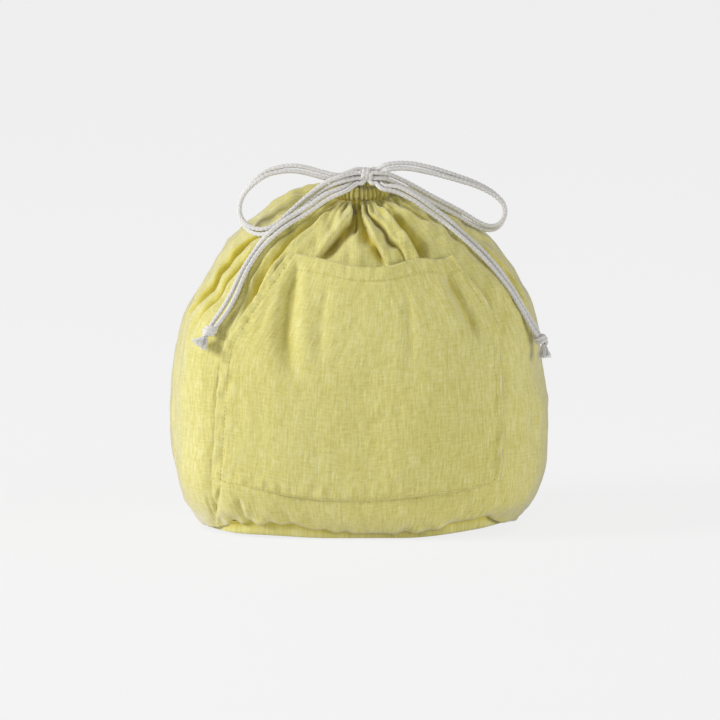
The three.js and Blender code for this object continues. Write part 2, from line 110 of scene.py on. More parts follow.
# The seam round the bottom, which wavers over a plan, and the bottom panel that rolls up into it
SEAM_PLAN = (0.105, 0.065)
SEAM_HEIGHT = 0.0050
SEAM_LOWEST = 0.0032
SEAM_HIGHEST = 0.0085
SEAM_WAVER = 0.0010
SEAM_DEPTH = 0.0009
SEAM_WIDTH = 0.0014
PUCKER_REACH = 0.010
BOTTOM_ROWS = 40
BOTTOM_GROUND = 0.0006
BOTTOM_WAVE = 0.0004
BOTTOM_LAP = 0.0030
BOTTOM_INSET = 0.0012
BULGE_INSET = 0.0004
BULGE_SHARE = 0.55
ROLL_GROUND = 0.0005
ROLL_ROWS = 8

# Ripples of the cloth: height, wavelength, seed, how steep they stay along Z, and number of waves
PANEL_LUMPS = (0.0006, 0.055, 4, 1, 14)
PANEL_STREAKS = (0.00018, 0.013, 3, 0.2, 14)
SHOULDER_STREAKS = (0.00035, 0.013, 3, 0.2, 14)
PANEL_GRAIN = (0.00007, 0.006, 16, 0.6, 24)
PANEL_PUCKERS = (0.0009, 0.014, 6, 0.3, 14)
BOTTOM_WAVES = (BOTTOM_WAVE, 0.03, 9, 0, 14)
BOTTOM_PUCKERS = (0.0005, 0.010, 10, 0.4, 14)
POCKET_PUCKERS = (0.0005, 0.008, 11, 1, 14)
POCKET_LUMPS = (0.0004, 0.05, 12, 0.5, 14)
POCKET_STREAKS = (0.00009, 0.013, 13, 0.25, 14)
POCKET_GRAIN = (0.00008, 0.006, 17, 1, 24)
POCKET_GATHERS = (0.00013, 0.0045, 18, 0.15, 14)
CASING_WANDER = (0.00025, 0.006, 15, 1, 14)

# Casing
CASING_RADIUS = 0.0171
CASING_HALF_WIDTH = 0.0048
CASING_FOOT = 0.2203
CASING_HEIGHT = 0.009
CASING_MIDDLE = CASING_FOOT + CASING_HEIGHT / 2
CASING_END = math.radians(25)
CASING_COLUMNS = 330
CASING_ROWS = 44
CASING_FLUTE = 0.0019
CASING_FRILL = 0.0009
CASING_PINCH = 0.0016
CASING_STITCH_INSET = 0.0007
CASING_STITCH_RISE = 0.0012

# Cords and the bow
CORD_DIAMETER = 0.0032
CORD_RADIUS = CORD_DIAMETER / 2
YARN_RADIUS = 0.00146
CORD_RING = 0.0006
CORD_CLEARANCE = 0.0004
STRAND_PITCH = CORD_DIAMETER + CORD_CLEARANCE
HALF_PITCH = STRAND_PITCH / 2
RING_OVERRUN = math.radians(7)
# Braid: length of a stitch, rows round the cord, slant, and its relief in shares of the radius
BRAID_PITCH = 0.0030
BRAID_COLUMNS = 4
BRAID_SLANT = 0.55
BRAID_SWELL = 0.11
BRAID_GROOVE = 0.12
BRAID_GROOVE_WIDTH = 0.3
BRAID_LIFT = 0.02
KNOT_RADIUS = STRAND_PITCH + CORD_RADIUS
KNOT_HALF_WIDTH = HALF_PITCH + CORD_RADIUS
KNOT_CENTRE = np.array((
    0.005,
    -CASING_RADIUS - CORD_RADIUS,
    CASING_FOOT + CASING_HEIGHT + KNOT_RADIUS + CORD_DIAMETER,
))
BOW_TURNS = 2.15
BOW_SPAN = 0.72
BOW_SLANT = 0.0004
BOW_FLATNESS = 0.0004
BOW_RISE = 0.0002
TAIL_DROP = 0.0051
END_KNOT_RADIUS = 0.0044
END_KNOT_LENGTH = 0.0085
END_KNOT_TURNS = 2.6
END_KNOT_TAPER = 0.8
END_KNOT_SLANT = 0.0011
# Tufts of yarn at the cut ends of the tails
TUFT_RADIUS = 0.0046
TUFT_LENGTH = 0.009
TUFT_YARNS = 150
TUFT_YARN_RADIUS = 0.00028
TUFT_CURL = 0.0005
TUFT_SUNK = 0.0008
# How wide each cut end fans out, as a share of the tuft's radius, and how it leans away from its cord
TUFT_FANS = {"left": (2.2, (0, 0, 0)), "right": (1.15, (-0.40, -0.25, -0.7))}

# Cord routes: the middle of each pair of strands, and for a loop the lean of the pair in degrees
LEFT_LOOP = (
    (-0.0130, -0.0195, 0.2360, 0),
    (-0.0250, -0.0182, 0.2380, 0),
    (-0.0345, -0.0173, 0.2405, 10),
    (-0.0435, -0.0170, 0.2419, 22),
    (-0.0523, -0.0170, 0.2412, 38),
    (-0.0613, -0.0170, 0.2386, 55),
    (-0.0698, -0.0175, 0.2326, 72),
    (-0.0764, -0.0185, 0.2250, 90),
    (-0.0794, -0.0205, 0.2172, 100),
    (-0.0786, -0.0225, 0.2098, 118),
    (-0.0746, -0.0258, 0.2043, 150),
    (-0.0675, -0.0302, 0.2016, 185),
    (-0.0600, -0.0334, 0.2029, 215),
    (-0.0535, -0.0329, 0.2064, 225),
    (-0.0464, -0.0300, 0.2120, 212),
    (-0.0388, -0.0270, 0.2186, 190),
    (-0.0311, -0.0255, 0.2252, 180),
    (-0.0215, -0.0243, 0.2320, 180),
    (-0.0110, -0.0234, 0.2362, 180),
)
RIGHT_LOOP = (
    (0.0173, -0.0190, 0.2426, 0),
    (0.0240, -0.0183, 0.2437, 0),
    (0.0330, -0.0170, 0.2435, 8),
    (0.0476, -0.0150, 0.2403, 25),
    (0.0565, -0.0140, 0.2376, 38),
    (0.0654, -0.0130, 0.2347, 50),
    (0.0744, -0.0120, 0.2315, 62),
    (0.0833, -0.0110, 0.2274, 74),
    (0.0904, -0.0105, 0.2228, 84),
    (0.0958, -0.0100, 0.2168, 92),
    (0.0970, -0.0095, 0.2110, 98),
    (0.0949, -0.0090, 0.2048, 115),
    (0.0910, -0.0087, 0.2012, 130),
    (0.0855, -0.0085, 0.2004, 148),
    (0.0785, -0.0085, 0.2029, 165),
    (0.0654, -0.0093, 0.2108, 180),
    (0.0476, -0.0115, 0.2206, 180),
    (0.0302, -0.0158, 0.2310, 180),
    (0.0173, -0.0190, 0.2370, 180),
)
# A tail leaves the bow through the air, its pair leaning over as it goes, and then lies on the body,
# at a share of its half width and a share of its height, with its strands so many pitches apart
LEFT_TAIL_AIR = (
    (-0.0090, -0.0268, 0.2299, 34),
    (-0.0215, -0.0308, 0.2252, 74),
    (-0.0311, -0.0326, 0.2189, 85),
    (-0.0388, -0.0340, 0.2140, 80),
    (-0.0464, -0.0362, 0.2099, 80),
    (-0.0540, -0.0382, 0.2046, 75),
    (-0.0615, -0.0398, 0.1980, 60),
)
LEFT_TAIL_LAID = (
    (-0.753, 0.861, 1.00),
    (-0.761, 0.805, 1.00),
    (-0.762, 0.737, 1.20),
    (-0.776, 0.694, 1.30),
    (-0.797, 0.643, 1.05),
)
RIGHT_TAIL_AIR = (
    (0.0155, -0.0250, 0.2307, 30),
    (0.0255, -0.0260, 0.2290, 72),
    (0.0379, -0.0275, 0.2230, 85),
    (0.0473, -0.0270, 0.2160, 70),
    (0.0568, -0.0268, 0.2090, 60),
)
RIGHT_TAIL_LAID = (
    (0.844, 0.910, 1.25),
    (0.882, 0.838, 1.25),
    (0.922, 0.736, 1.10),
    (0.937, 0.673, 1.05),
    (0.947, 0.602, 1.05),
)
LEFT_LEAD_IN = (
    (0.0000, -0.0090, 0.2362),
    (-0.0040, -0.0040, 0.2354),
    (-0.0075, 0.0010, 0.2328),
    (-0.0115, 0.0010, 0.2288),
    (-0.0146, -0.0025, 0.2262),
)
LEFT_LEAD_OUT = (
    (-0.0152, 0.0032, 0.2280),
    (-0.0150, -0.0015, 0.2318),
    (-0.0110, -0.0050, 0.2355),
    (-0.0040, -0.0090, 0.2392),
)
RIGHT_LEAD_IN = (
    (0.0070, -0.0100, 0.2362),
    (0.0085, -0.0050, 0.2360),
    (0.0115, 0.0000, 0.2340),
    (0.0156, -0.0006, 0.2304),
    (0.0180, -0.0042, 0.2265),
)
RIGHT_LEAD_OUT = (
    (0.0188, 0.0040, 0.2272),
    (0.0196, -0.0010, 0.2312),
    (0.0150, -0.0050, 0.2360),
    (0.0100, -0.0095, 0.2392),
)

# The pocket's outline in the photograph, each edge in pixels
POCKET_LEFT = ((212, 479), (216, 430), (219, 380), (225, 345), (240, 320), (262, 290), (290, 253))
POCKET_RIGHT = ((500, 480), (503, 430), (500, 360), (495, 320), (474, 284), (451, 257))
POCKET_FOOT = (
    (212, 479), (224, 483), (260, 490), (294, 497), (330, 500.5), (370, 501),
    (400, 498.5), (430, 495), (460, 491), (487, 485), (500, 480),
)
POCKET_MOUTH = (
    (290, 253), (309, 257), (330, 262), (355, 268), (386, 268),
    (407, 262), (421, 259.5), (436, 261), (451, 257),
)
# The seam round the bottom along the front, in pixels
BOTTOM_SEAM = (
    (200, 520), (211, 527), (219, 527), (245, 525), (259, 523), (275, 525), (289, 526), (308, 530),
    (327, 533), (360, 534), (396, 534), (420, 532), (435, 530), (448, 527), (462, 523), (491, 519),
    (518, 519),
)

# Lines of the photograph that more than one list below uses, in pixels from the gathers outwards: where
# the cloth steps in at the upper left, the fold next to it, and the fold that runs down to the pocket
LEFT_STEP = (
    (272, 229), (251, 241.5), (238, 252), (227.5, 263), (217.5, 274), (213, 282.5), (207, 291),
    (199, 298.5), (190, 308.5), (184, 319), (179, 330),
)
LEFT_FOLD = (
    (270, 241), (259, 249.5), (246, 260.5), (235.5, 272), (225.5, 283), (221, 291.5), (215, 300),
    (207, 307.5), (198, 317.5), (192, 328), (187, 339),
)
POCKET_FOLD = (
    (336, 204), (317, 220), (305, 229), (291.5, 241), (276.5, 259), (262, 280.5), (254, 296), (246, 313),
    (236, 338),
)
# Folds of the front as the photograph shows them: depth, width on the left and on the right of the
# line as one looks along it, and the line in pixels from the gathers outwards
FOLDS = (
    (0.0105, 0.0072, 0.0014, (
        (351, 201), (351.5, 211), (349.5, 217.5), (340.5, 227), (333.5, 235.5), (326, 246), (320, 257),
        (316, 269),
    )),
    (0.0048, 0.0014, 0.0014, ((355, 201), (356, 211), (356.7, 218), (355.5, 227), (352.5, 233))),
    (0.0022, 0.0008, 0.0008, ((358, 201), (358.4, 209), (359, 216))),
    (0.0085, 0.0013, 0.0062, (
        (361.5, 203), (363, 215), (368, 227), (371, 235.5), (377, 243.5), (382, 254.5), (386.5, 266),
        (389, 274),
    )),
    (0.0062, 0.0012, 0.0036, (
        (367, 203), (369, 211), (374, 217), (381, 223), (386.5, 230), (390.5, 238.5), (399.5, 245.5),
        (403.5, 253), (406, 262), (407, 270),
    )),
    (0.0115, 0.0080, 0.0014, (
        (376, 204), (383.5, 210), (391.5, 218), (397.5, 225), (404.5, 233.5), (412, 243.5), (418, 252),
        (422, 260), (426, 270),
    )),
    (0.0024, 0.0009, 0.0012, ((380, 201), (386, 206), (392, 211))),
    (0.0044, 0.0028, 0.0015, (
        (382, 197.5), (391.5, 200.5), (401.5, 205.5), (412, 212), (421, 216.5), (442, 227),
    )),
    (0.0018, 0.0010, 0.0010, ((382, 193.5), (391, 194.5), (400, 199.5), (412, 206))),
    (0.0026, 0.0010, 0.0012, ((348, 202), (344.5, 208), (340, 213))),
    (0.0020, 0.0009, 0.0014, ((341, 201), (334, 207), (324, 214))),
    (0.0080, 0.0014, 0.0048, POCKET_FOLD),
    (0.0018, 0.0010, 0.0014, (
        (328, 203), (300, 223), (278.5, 238), (262, 258), (249, 279.5), (240, 300), (228, 328), (220, 352),
    )),
    (0.0042, 0.0011, 0.0015, LEFT_STEP),
    (0.0056, 0.0011, 0.0026, LEFT_FOLD),
    (0.0008, 0.0014, 0.0014, ((302, 202), (276, 214), (254, 230))),
    (0.0007, 0.0011, 0.0011, ((318, 197), (290, 206), (264, 221))),
    (0.0008, 0.0011, 0.0016, ((312, 208), (288, 219), (268, 232))),
    (0.0034, 0.0018, 0.0034, ((483, 246), (508, 273), (523, 303), (531, 328))),
    (0.0012, 0.0036, 0.0036, ((452, 232), (494, 276), (522, 318))),
    (0.0019, 0.0010, 0.0022, ((228, 340), (218, 385), (215, 430), (212, 474), (214, 520), (216, 560))),
    (0.0018, 0.0018, 0.0018, ((221, 486), (216, 504), (214, 522))),
    (0.0014, 0.0012, 0.0012, ((206, 494), (208, 508), (212, 522))),
    (0.0018, 0.0018, 0.0030, ((239, 500), (241, 512), (244, 524))),
)
# The step in the cloth, written the same way
STEPS = ((0.0034, 0.0040, 0.0013, LEFT_STEP),)
# How strongly painted shade darkens the faces of the steepest folds, written the same way
PAINTED_SHADES = (
    (1.7, 0.0010, 0.0034, LEFT_STEP), (1.8, 0.0010, 0.0034, LEFT_FOLD), (0.5, 0.0016, 0.0050, POCKET_FOLD),
)
# Soft creases of the pocket, written the same way
POCKET_CREASES = (
    (0.0052, 0.0076, 0.0064, (
        (301, 252), (297, 272), (292, 296), (288.5, 316), (286.5, 338), (291, 366), (298, 392),
    )),
    (-0.0016, 0.0052, 0.0052, ((308, 258), (305, 282), (304, 310), (305, 340), (309, 368), (314, 392))),
    (0.0012, 0.0030, 0.0030, ((282, 276), (268, 306), (256, 345))),
    (0.0010, 0.0030, 0.0030, ((330, 275), (322, 320), (320, 370))),
    (0.0052, 0.0062, 0.0044, ((441, 258), (450, 280), (462, 304), (477, 334), (487, 354))),
    (0.0010, 0.0030, 0.0030, ((404, 285), (410, 330), (408, 380))),
    (0.0008, 0.0040, 0.0040, ((240, 380), (236, 420), (230, 460))),
)

# The pocket: its size over the cloth, how far it stands off the body, its room in the body's cloth, and
# its hem, its sewn edges and the place of its weave
POCKET_COLUMNS = 150
POCKET_ROWS = 140
POCKET_WIDTH = 0.19
POCKET_HEIGHT = 0.155
POCKET_STAND = 0.0002
POCKET_RISE = 0.0004
POCKET_GAPE = 0.0034
POCKET_ROOM = 0.0062
POCKET_GAP = 0.0020
POCKET_CRUMPLE = 0.00026
POCKET_PUCKER_REACH = 0.008
POCKET_WEAVE = (0.193, 0.160)
POCKET_WEAVE_START = (0.4, 0)
HEM_DEPTH = 0.0105
HEM_RISE = 0.0005
HEM_DENT = 0.0003
HEM_DENT_WIDTH = 0.0012
FLANGE_RISE = 0.0008
LEFT_FLANGE = 0.006
RIGHT_FLANGE = 0.005
LEFT_STITCH_INSET = 0.0058
RIGHT_STITCH_INSET = 0.0044
FOOT_STITCH_INSET = 0.0013
STITCH_DENT = 0.0005
STITCH_DENT_WIDTH = 0.0011
# Length, gap and radius of a stitch
POCKET_STITCH = (0.0021, 0.0006, 0.00024)
CASING_STITCH = (0.0016, 0.0005, 0.0002)

# Light: place, width and power of each lamp, where they point, the world's strength, and the floor's
# size, its drop under the pouch, its grey and the share of it that the camera sees evenly lit
LAMPS = {"key": ((-2.2, -0.62, 1.15), 1.0, 49), "fill": ((2.5, -1.2, 0.7), 1.6, 29)}
LAMP_TARGET = (0, 0, 0.11)
WORLD_STRENGTH = 0.30
FLOOR_HALF_SIDE = 40.0
FLOOR_DROP = 0.0002
FLOOR_GREY = (0.92, 0.92, 0.92, 1)
FLOOR_EVEN_GREY = (0.925, 0.925, 0.925, 1)
FLOOR_EVEN_SHARE = 0.88


def smoothstep(value, low, high):
    share = np.clip((value - low) / (high - low), 0, 1)
    return share * share * (3 - 2 * share)


def unit(vectors):
    return vectors / np.maximum(np.linalg.norm(vectors, axis=-1, keepdims=True), 1e-12)


def bell(distance, width, power=2):
    """1 at no distance, falling away to 0 past a width."""
    return np.exp(-(distance / width) ** power)


def between(first, second, share):
    return (1 - share) * first + share * second


def curve(start, bend, end, share):
    """Leaves a start towards a bend, and reaches an end as if from that bend."""
    return (1 - share) ** 2 * start + 2 * share * (1 - share) * bend + share ** 2 * end


def turned(radius, turn, height):
    """Points at a radius, a turn and a height about the Z axis."""
    return np.stack(np.broadcast_arrays(radius * np.cos(turn), radius * np.sin(turn), height), -1)


def distances(line):
    """Distance along a line from its start to each of its points."""
    return np.concatenate(([0], np.cumsum(np.linalg.norm(np.diff(line, axis=0), axis=1))))


def catmull(points, share):
    """Centripetal spline through the points, at shares from 0 to 1 of its way."""
    points = np.asarray(points, float)
    last = len(points) - 1
    way = last * np.clip(np.asarray(share, float), 0, 1)
    start = np.minimum(way.astype(int), last - 1)
    rest = (way - start)[..., None]
    padded = np.vstack((2 * points[0] - points[1], points, 2 * points[-1] - points[-2]))
    a, b, c, d = (padded[start + i] for i in range(4))
    ab, bc, cd = (np.sqrt(np.linalg.norm(q - p, axis=-1))[..., None] for p, q in ((a, b), (b, c), (c, d)))
    leave = ((b - a) / ab - (c - a) / (ab + bc) + (c - b) / bc) * bc
    arrive = ((c - b) / bc - (d - b) / (bc + cd) + (d - c) / cd) * bc
    square = 3 * (c - b) - 2 * leave - arrive
    cube = 2 * (b - c) + leave + arrive
    return b + rest * (leave + rest * (square + rest * cube))


def even_line(points, count=None, spacing=None):
    """Points at even distances along the spline through the given points."""
    fine = catmull(points, np.linspace(0, 1, 60 * len(points)))
    length = distances(fine)
    count = count or max(2, round(length[-1] / spacing) + 1)
    at = np.linspace(0, length[-1], count)
    return np.stack([np.interp(at, length, fine[:, axis]) for axis in range(fine.shape[1])], -1)


def line_length(points):
    return float(distances(points)[-1])


def ripple(places, wavelength, seed, waves=14):
    """Smooth seeded noise of about unit height over places given in metres."""
    draw = np.random.default_rng(seed)
    ways = unit(draw.normal(size=(waves, places.shape[-1])))
    ways *= 2 * math.pi / wavelength * draw.uniform(0.6, 1.4, (waves, 1))
    phases = draw.uniform(0, 2 * math.pi, waves)
    return np.sin(places @ ways.T + phases).sum(-1) / math.sqrt(waves / 2)


def creased(places, wavelength, seed):
    """Soft hollows between creases, stronger in some patches than in others."""
    patches = 0.35 + 0.65 * smoothstep(ripple(places, 3 * wavelength, seed + 30), -0.6, 0.9)
    return patches * (0.6 - np.sqrt(ripple(places * (1, 1, 0.7), wavelength, seed, 24) ** 2 + 0.01))


def rippled(places, kind):
    """One of the named ripples of the cloth, over places given in metres."""
    height, wavelength, seed, upright, waves = kind
    return height * ripple(places * (1, 1, upright), wavelength, seed, waves)


# The body's surface, as the model's panels have it
def plan_exponent(height):
    below = BASE_SQUARENESS + (BELLY_SQUARENESS - BASE_SQUARENESS) * smoothstep(height, 0, BELLY_HEIGHT)
    return below + (2 - below) * smoothstep(height, SHOULDER_HEIGHT, NECK_HEIGHT)


def body_point(way, turn):
    level = catmull(LEVELS, way)
    power = plan_exponent(level[..., 2])
    across = np.abs(np.cos(turn) / level[..., 0]) ** power
    along = np.abs(np.sin(turn) / level[..., 1]) ** power
    return turned((across + along) ** (-1 / power), turn, level[..., 2])


def body_normal(way, turn, step=1e-3):
    up = body_point(np.minimum(way + step, 1), turn) - body_point(np.maximum(way - step, 0), turn)
    round_about = body_point(way, turn + step) - body_point(way, turn - step)
    return unit(np.cross(round_about, up))


WAY_TABLE = np.linspace(0, 1, 2001)
LEVEL_TABLE = catmull(LEVELS, WAY_TABLE)


def way_at(height):
    return np.interp(height, LEVEL_TABLE[:, 2], WAY_TABLE)


def half_size(heights, axis):
    """Half width (axis 0) or half depth (axis 1) of the body at its heights."""
    return np.interp(heights, LEVEL_TABLE[:, 2], LEVEL_TABLE[:, axis])


def neck_distance():
    """Distance along the middle of the front from the neck to each way of the table."""
    length = distances(body_point(WAY_TABLE, np.full_like(WAY_TABLE, -math.pi / 2)))
    return length[-1] - length


NECK_DISTANCE = neck_distance()


def front_place(share, height):
    """Place and outward normal on the front, at a share of the half width and a height."""
    level = catmull(LEVELS, way_at(height))
    power = plan_exponent(height)
    depth = (1 - abs(share) ** power) ** (1 / power)
    turn = math.atan2(-level[1] * depth, level[0] * share)
    way = np.array(way_at(height))
    return body_point(way, turn), body_normal(way, turn)


# The camera, and where its pixels fall on the body
CAMERA_BACK = np.array((0, -math.cos(CAMERA_ELEVATION), math.sin(CAMERA_ELEVATION)))
CAMERA_UP = np.array((0, math.sin(CAMERA_ELEVATION), math.cos(CAMERA_ELEVATION)))
CAMERA_PLACE = CAMERA_TARGET + CAMERA_DISTANCE * CAMERA_BACK
PIXEL_SLOPE = CAMERA_SENSOR / CAMERA_LENS / IMAGE_SIDE


def make_camera():
    data = bpy.data.cameras.new("camera")
    data.lens = CAMERA_LENS
    data.sensor_width = CAMERA_SENSOR
    camera = add_object("camera", data)
    camera.location = CAMERA_PLACE
    camera.rotation_euler = (math.pi / 2 - CAMERA_ELEVATION, 0, 0)
    bpy.context.scene.camera = camera


def body_measure(points):
    """Below 1 inside the body, above 1 outside it."""
    across, along, height = np.moveaxis(points, -1, 0)
    power = plan_exponent(height)
    measure = np.abs(across / half_size(height, 0)) ** power + np.abs(along / half_size(height, 1)) ** power
    return measure + 1e3 * np.maximum(height - NECK_HEIGHT, 0)


def seen(pixels):
    """Points of the body's surface that the camera sees at these pixels, the nearest for a miss."""
    pixels = np.asarray(pixels, float)
    right = (pixels[..., 0:1] - IMAGE_SIDE / 2) * PIXEL_SLOPE
    up = (IMAGE_SIDE / 2 - pixels[..., 1:2]) * PIXEL_SLOPE
    rays = unit(right * np.array((1.0, 0, 0)) + up * CAMERA_UP - CAMERA_BACK)
    reach = np.linspace(CAMERA_DISTANCE - 0.15, CAMERA_DISTANCE + 0.1, 160)
    measure = body_measure(CAMERA_PLACE + rays[..., None, :] * reach[:, None])
    inside = measure < 1
    first = np.where(inside.any(-1), inside.argmax(-1), measure.argmin(-1))
    near, far = reach[np.maximum(first - 1, 0)], reach[first]
    for _ in range(24):
        middle = (near + far) / 2
        within = body_measure(CAMERA_PLACE + rays * middle[..., None]) < 1
        near, far = np.where(within, near, middle), np.where(within, middle, far)
    return CAMERA_PLACE + rays * far[..., None]


def pixel_of(points):
    """Where points in space fall in the photograph's frame."""
    away = points - CAMERA_PLACE
    depth = -(away @ CAMERA_BACK) * PIXEL_SLOPE
    return np.stack((IMAGE_SIDE / 2 + away[..., 0] / depth, IMAGE_SIDE / 2 - away @ CAMERA_UP / depth), -1)


def surface_normal(points):
    """Outward normal of the body at points on its surface."""
    step = 2e-4
    slope = [body_measure(points + step * axis) - body_measure(points - step * axis) for axis in np.eye(3)]
    return unit(np.stack(slope, -1))


# Objects and meshes
def add_object(name, data):
    thing = bpy.data.objects.new(name, data)
    bpy.context.scene.collection.objects.link(thing)
    return thing


def grid_faces(rows, columns, closed=False):
    spans = columns if closed else columns - 1
    row, column = np.meshgrid(np.arange(rows - 1), np.arange(spans), indexing="ij")
    here = row * columns
    after = (column + 1) % columns
    faces = np.stack((here + column, here + after, here + columns + after, here + columns + column), -1)
    return faces.reshape(-1, 4)


def tube_faces(rings, sides, first=0):
    """Faces of a tube and its two ends, whose points begin at a number."""
    last = first + (rings - 1) * sides
    ends = [list(range(first, first + sides))[::-1], list(range(last, last + sides))]
    return (grid_faces(rings, sides, True) + first).tolist() + ends


def make_piece(name, points, faces, material, cloth=None):
    mesh = bpy.data.meshes.new(name)
    mesh.from_pydata(np.asarray(points).reshape(-1, 3).tolist(), [], [list(map(int, face)) for face in faces])
    mesh.polygons.foreach_set("use_smooth", np.ones(len(mesh.polygons), bool))
    if cloth is not None:
        layer = mesh.uv_layers.new(name="cloth")
        corners = np.empty(len(mesh.loops), np.int32)
        mesh.loops.foreach_get("vertex_index", corners)
        layer.data.foreach_set("uv", np.asarray(cloth, np.float32).reshape(-1, 2)[corners].ravel())
    mesh.materials.append(material)
    mesh.update()
    return add_object(name, mesh)


def paint_shade(piece, painted_shade):
    """Keeps the painted shade of each point, deeper in folds, grooves and seams, for the material to darken
    by.
    """
    layer = piece.data.attributes.new("painted_shade", "FLOAT", "POINT")
    layer.data.foreach_set("value", np.asarray(painted_shade, np.float32).ravel())


def make_cloth(name, points, faces, material, cloth, painted_shade, offset=-1):
    """A piece with the places of its weave, its painted shade and the thickness of cloth."""
    piece = make_piece(name, points, faces, material, cloth)
    paint_shade(piece, painted_shade)
    modifier = piece.modifiers.new("cloth", "SOLIDIFY")
    modifier.thickness = CLOTH
    modifier.offset = offset
    return piece


def dress(piece, slot, body, *nodes):
    if nodes:
        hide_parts(*nodes)
    if body:
        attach(piece, body)
    return piece


# Materials
def new_material(name, **looks):
    """A material with inputs of its shader set, each named with _ in place of a space."""
    material = bpy.data.materials.new(name)
    material.use_nodes = True
    tree = material.node_tree
    shader = tree.nodes["Principled BSDF"]
    shader.inputs["Specular IOR Level"].default_value = 0.25
    for key, value in looks.items():
        shader.inputs[key.replace("_", " ")].default_value = value
    return material, tree, shader


def add_node(tree, kind, links=(), **values):
    node = tree.nodes.new(kind)
    for key, value in values.items():
        if key in node.inputs:
            node.inputs[key].default_value = value
        else:
            setattr(node, key, value)
    for source, socket in links:
        tree.links.new(source, node.inputs[socket])
    return node


def noise(tree, places, scale, detail=2.0):
    """Noise over coordinates stretched by a scale for each axis."""
    spread = add_node(tree, "ShaderNodeMapping", [(places, "Vector")], Scale=scale).outputs[0]
    return add_node(tree, "ShaderNodeTexNoise", [(spread, "Vector")], Scale=1.0, Detail=detail).outputs[0]


def math_node(tree, operation, *values):
    node = tree.nodes.new("ShaderNodeMath")
    node.operation = operation
    for socket, value in zip(node.inputs, values):
        if isinstance(value, (int, float)):
            socket.default_value = value
        else:
            tree.links.new(value, socket)
    return node.outputs[0]


def weighted(tree, *terms):
    """Sum of sources, each times its weight."""
    total = 0.0
    for source, weight in terms:
        total = math_node(tree, "MULTIPLY_ADD", source, weight, total)
    return total


def colour_ramp(tree, source, stops):
    ramp = add_node(tree, "ShaderNodeValToRGB", [(source, "Fac")])
    while len(ramp.color_ramp.elements) < len(stops):
        ramp.color_ramp.elements.new(0.5)
    for element, (place, colour) in zip(ramp.color_ramp.elements, stops):
        element.position = place
        element.color = (*colour, 1)
    return ramp.outputs[0]


def darken_by_painted_shade(tree, shader, shade, share, colour):
    """Colours a shader with a tone darkened towards a colour by the piece's painted shade, which is deeper in
    folds and grooves.
    """
    painted_shade = add_node(tree, "ShaderNodeAttribute", attribute_name="painted_shade").outputs["Fac"]
    mix = add_node(tree, "ShaderNodeMix", data_type="RGBA")
    tree.links.new(math_node(tree, "MULTIPLY", painted_shade, share), mix.inputs["Factor"])
    tree.links.new(shade, mix.inputs["A"])
    mix.inputs["B"].default_value = (*colour, 1)
    tree.links.new(mix.outputs["Result"], shader.inputs["Base Color"])


def add_bump(tree, shader, height, strength, distance):
    bump = add_node(tree, "ShaderNodeBump", [(height, "Height")], Strength=strength, Distance=distance)
    tree.links.new(bump.outputs[0], shader.inputs["Normal"])


def linen_material():
    """Washed linen: uneven yarns both ways, thicker slubs here and there and a faint sheen."""
    material, tree, shader = new_material(
        "linen", Roughness=0.85, Sheen_Weight=0.75, Sheen_Tint=(0.75, 0.74, 1.0, 1), Sheen_Roughness=0.5
    )
    cloth = add_node(tree, "ShaderNodeUVMap", uv_map="cloth").outputs[0]
    warp = noise(tree, cloth, (1000, 95, 1), 3)
    weft = noise(tree, cloth, (110, 900, 1), 3)
    slub = noise(tree, cloth, (480, 70, 1), 1)
    cross_slub = noise(tree, cloth, (75, 540, 1), 1)
    cloudy = noise(tree, cloth, (18, 14, 1), 2)
    mottle = noise(tree, cloth, (520, 420, 1), 3)
    yarns = weighted(tree, (warp, 1.25), (weft, 0.75))
    slubs = math_node(tree, "MAXIMUM", slub, math_node(tree, "MULTIPLY", cross_slub, 0.78))
    tone = weighted(tree, (yarns, 0.30), (slubs, 0.22), (cloudy, 0.11), (mottle, 0.18))
    shade = colour_ramp(tree, tone, (
        (0.42, (0.615, 0.55, 0.130)),
        (0.56, (0.74, 0.68, 0.225)),
        (0.72, (0.86, 0.815, 0.405)),
    ))
    # Painted shade: the linen's tone darkens towards a deep gold where its painted shade is deep, in folds,
    # gathers and seams.
    darken_by_painted_shade(tree, shader, shade, 0.9, (0.62, 0.52, 0.028))
    add_bump(tree, shader, weighted(tree, (yarns, 1.0), (slubs, 1.2)), 0.35, 0.0004)
    rough = math_node(tree, "MULTIPLY_ADD", yarns, 0.12, 0.75)
    tree.links.new(rough, shader.inputs["Roughness"])
    return material


def cotton_material():
    """Braided white cotton with loose fibres."""
    material, tree, shader = new_material("cotton_cord", Roughness=0.9, Sheen_Weight=0.2, Sheen_Roughness=0.4)
    places = add_node(tree, "ShaderNodeTexCoord").outputs["Object"]
    fibres = noise(tree, places, (2600, 2600, 2600), 3)
    soiling = noise(tree, places, (60, 60, 60), 2)
    shade = colour_ramp(tree, weighted(tree, (fibres, 0.7), (soiling, 0.3)), (
        (0.30, (0.74, 0.72, 0.68)),
        (0.55, (0.87, 0.86, 0.84)),
        (0.80, (0.93, 0.925, 0.91)),
    ))
    # Painted shade: the cord's tone darkens towards grey where its painted shade is deep, in the grooves of
    # the braid.
    darken_by_painted_shade(tree, shader, shade, 0.5, (0.58, 0.55, 0.50))
    add_bump(tree, shader, fibres, 0.5, 0.0003)
    return material


def thread_material():
    """Sewing thread dyed with the linen."""
    material, tree, shader = new_material("thread", Roughness=0.7)
    places = add_node(tree, "ShaderNodeTexCoord").outputs["Object"]
    twist = noise(tree, places, (3000, 3000, 3000), 1)
    shade = colour_ramp(tree, twist, ((0.35, (0.55, 0.46, 0.10)), (0.65, (0.74, 0.65, 0.22))))
    tree.links.new(shade, shader.inputs["Base Color"])
    return material


# Folds and gathers
def photo_lines(folds):
    """Folds given in pixels, as lines on the body."""
    lines = []
    for depth, left, right, pixels in folds:
        lines.append((depth, left, right, seen(even_line(pixels, spacing=FOLD_SPACING))))
    return lines


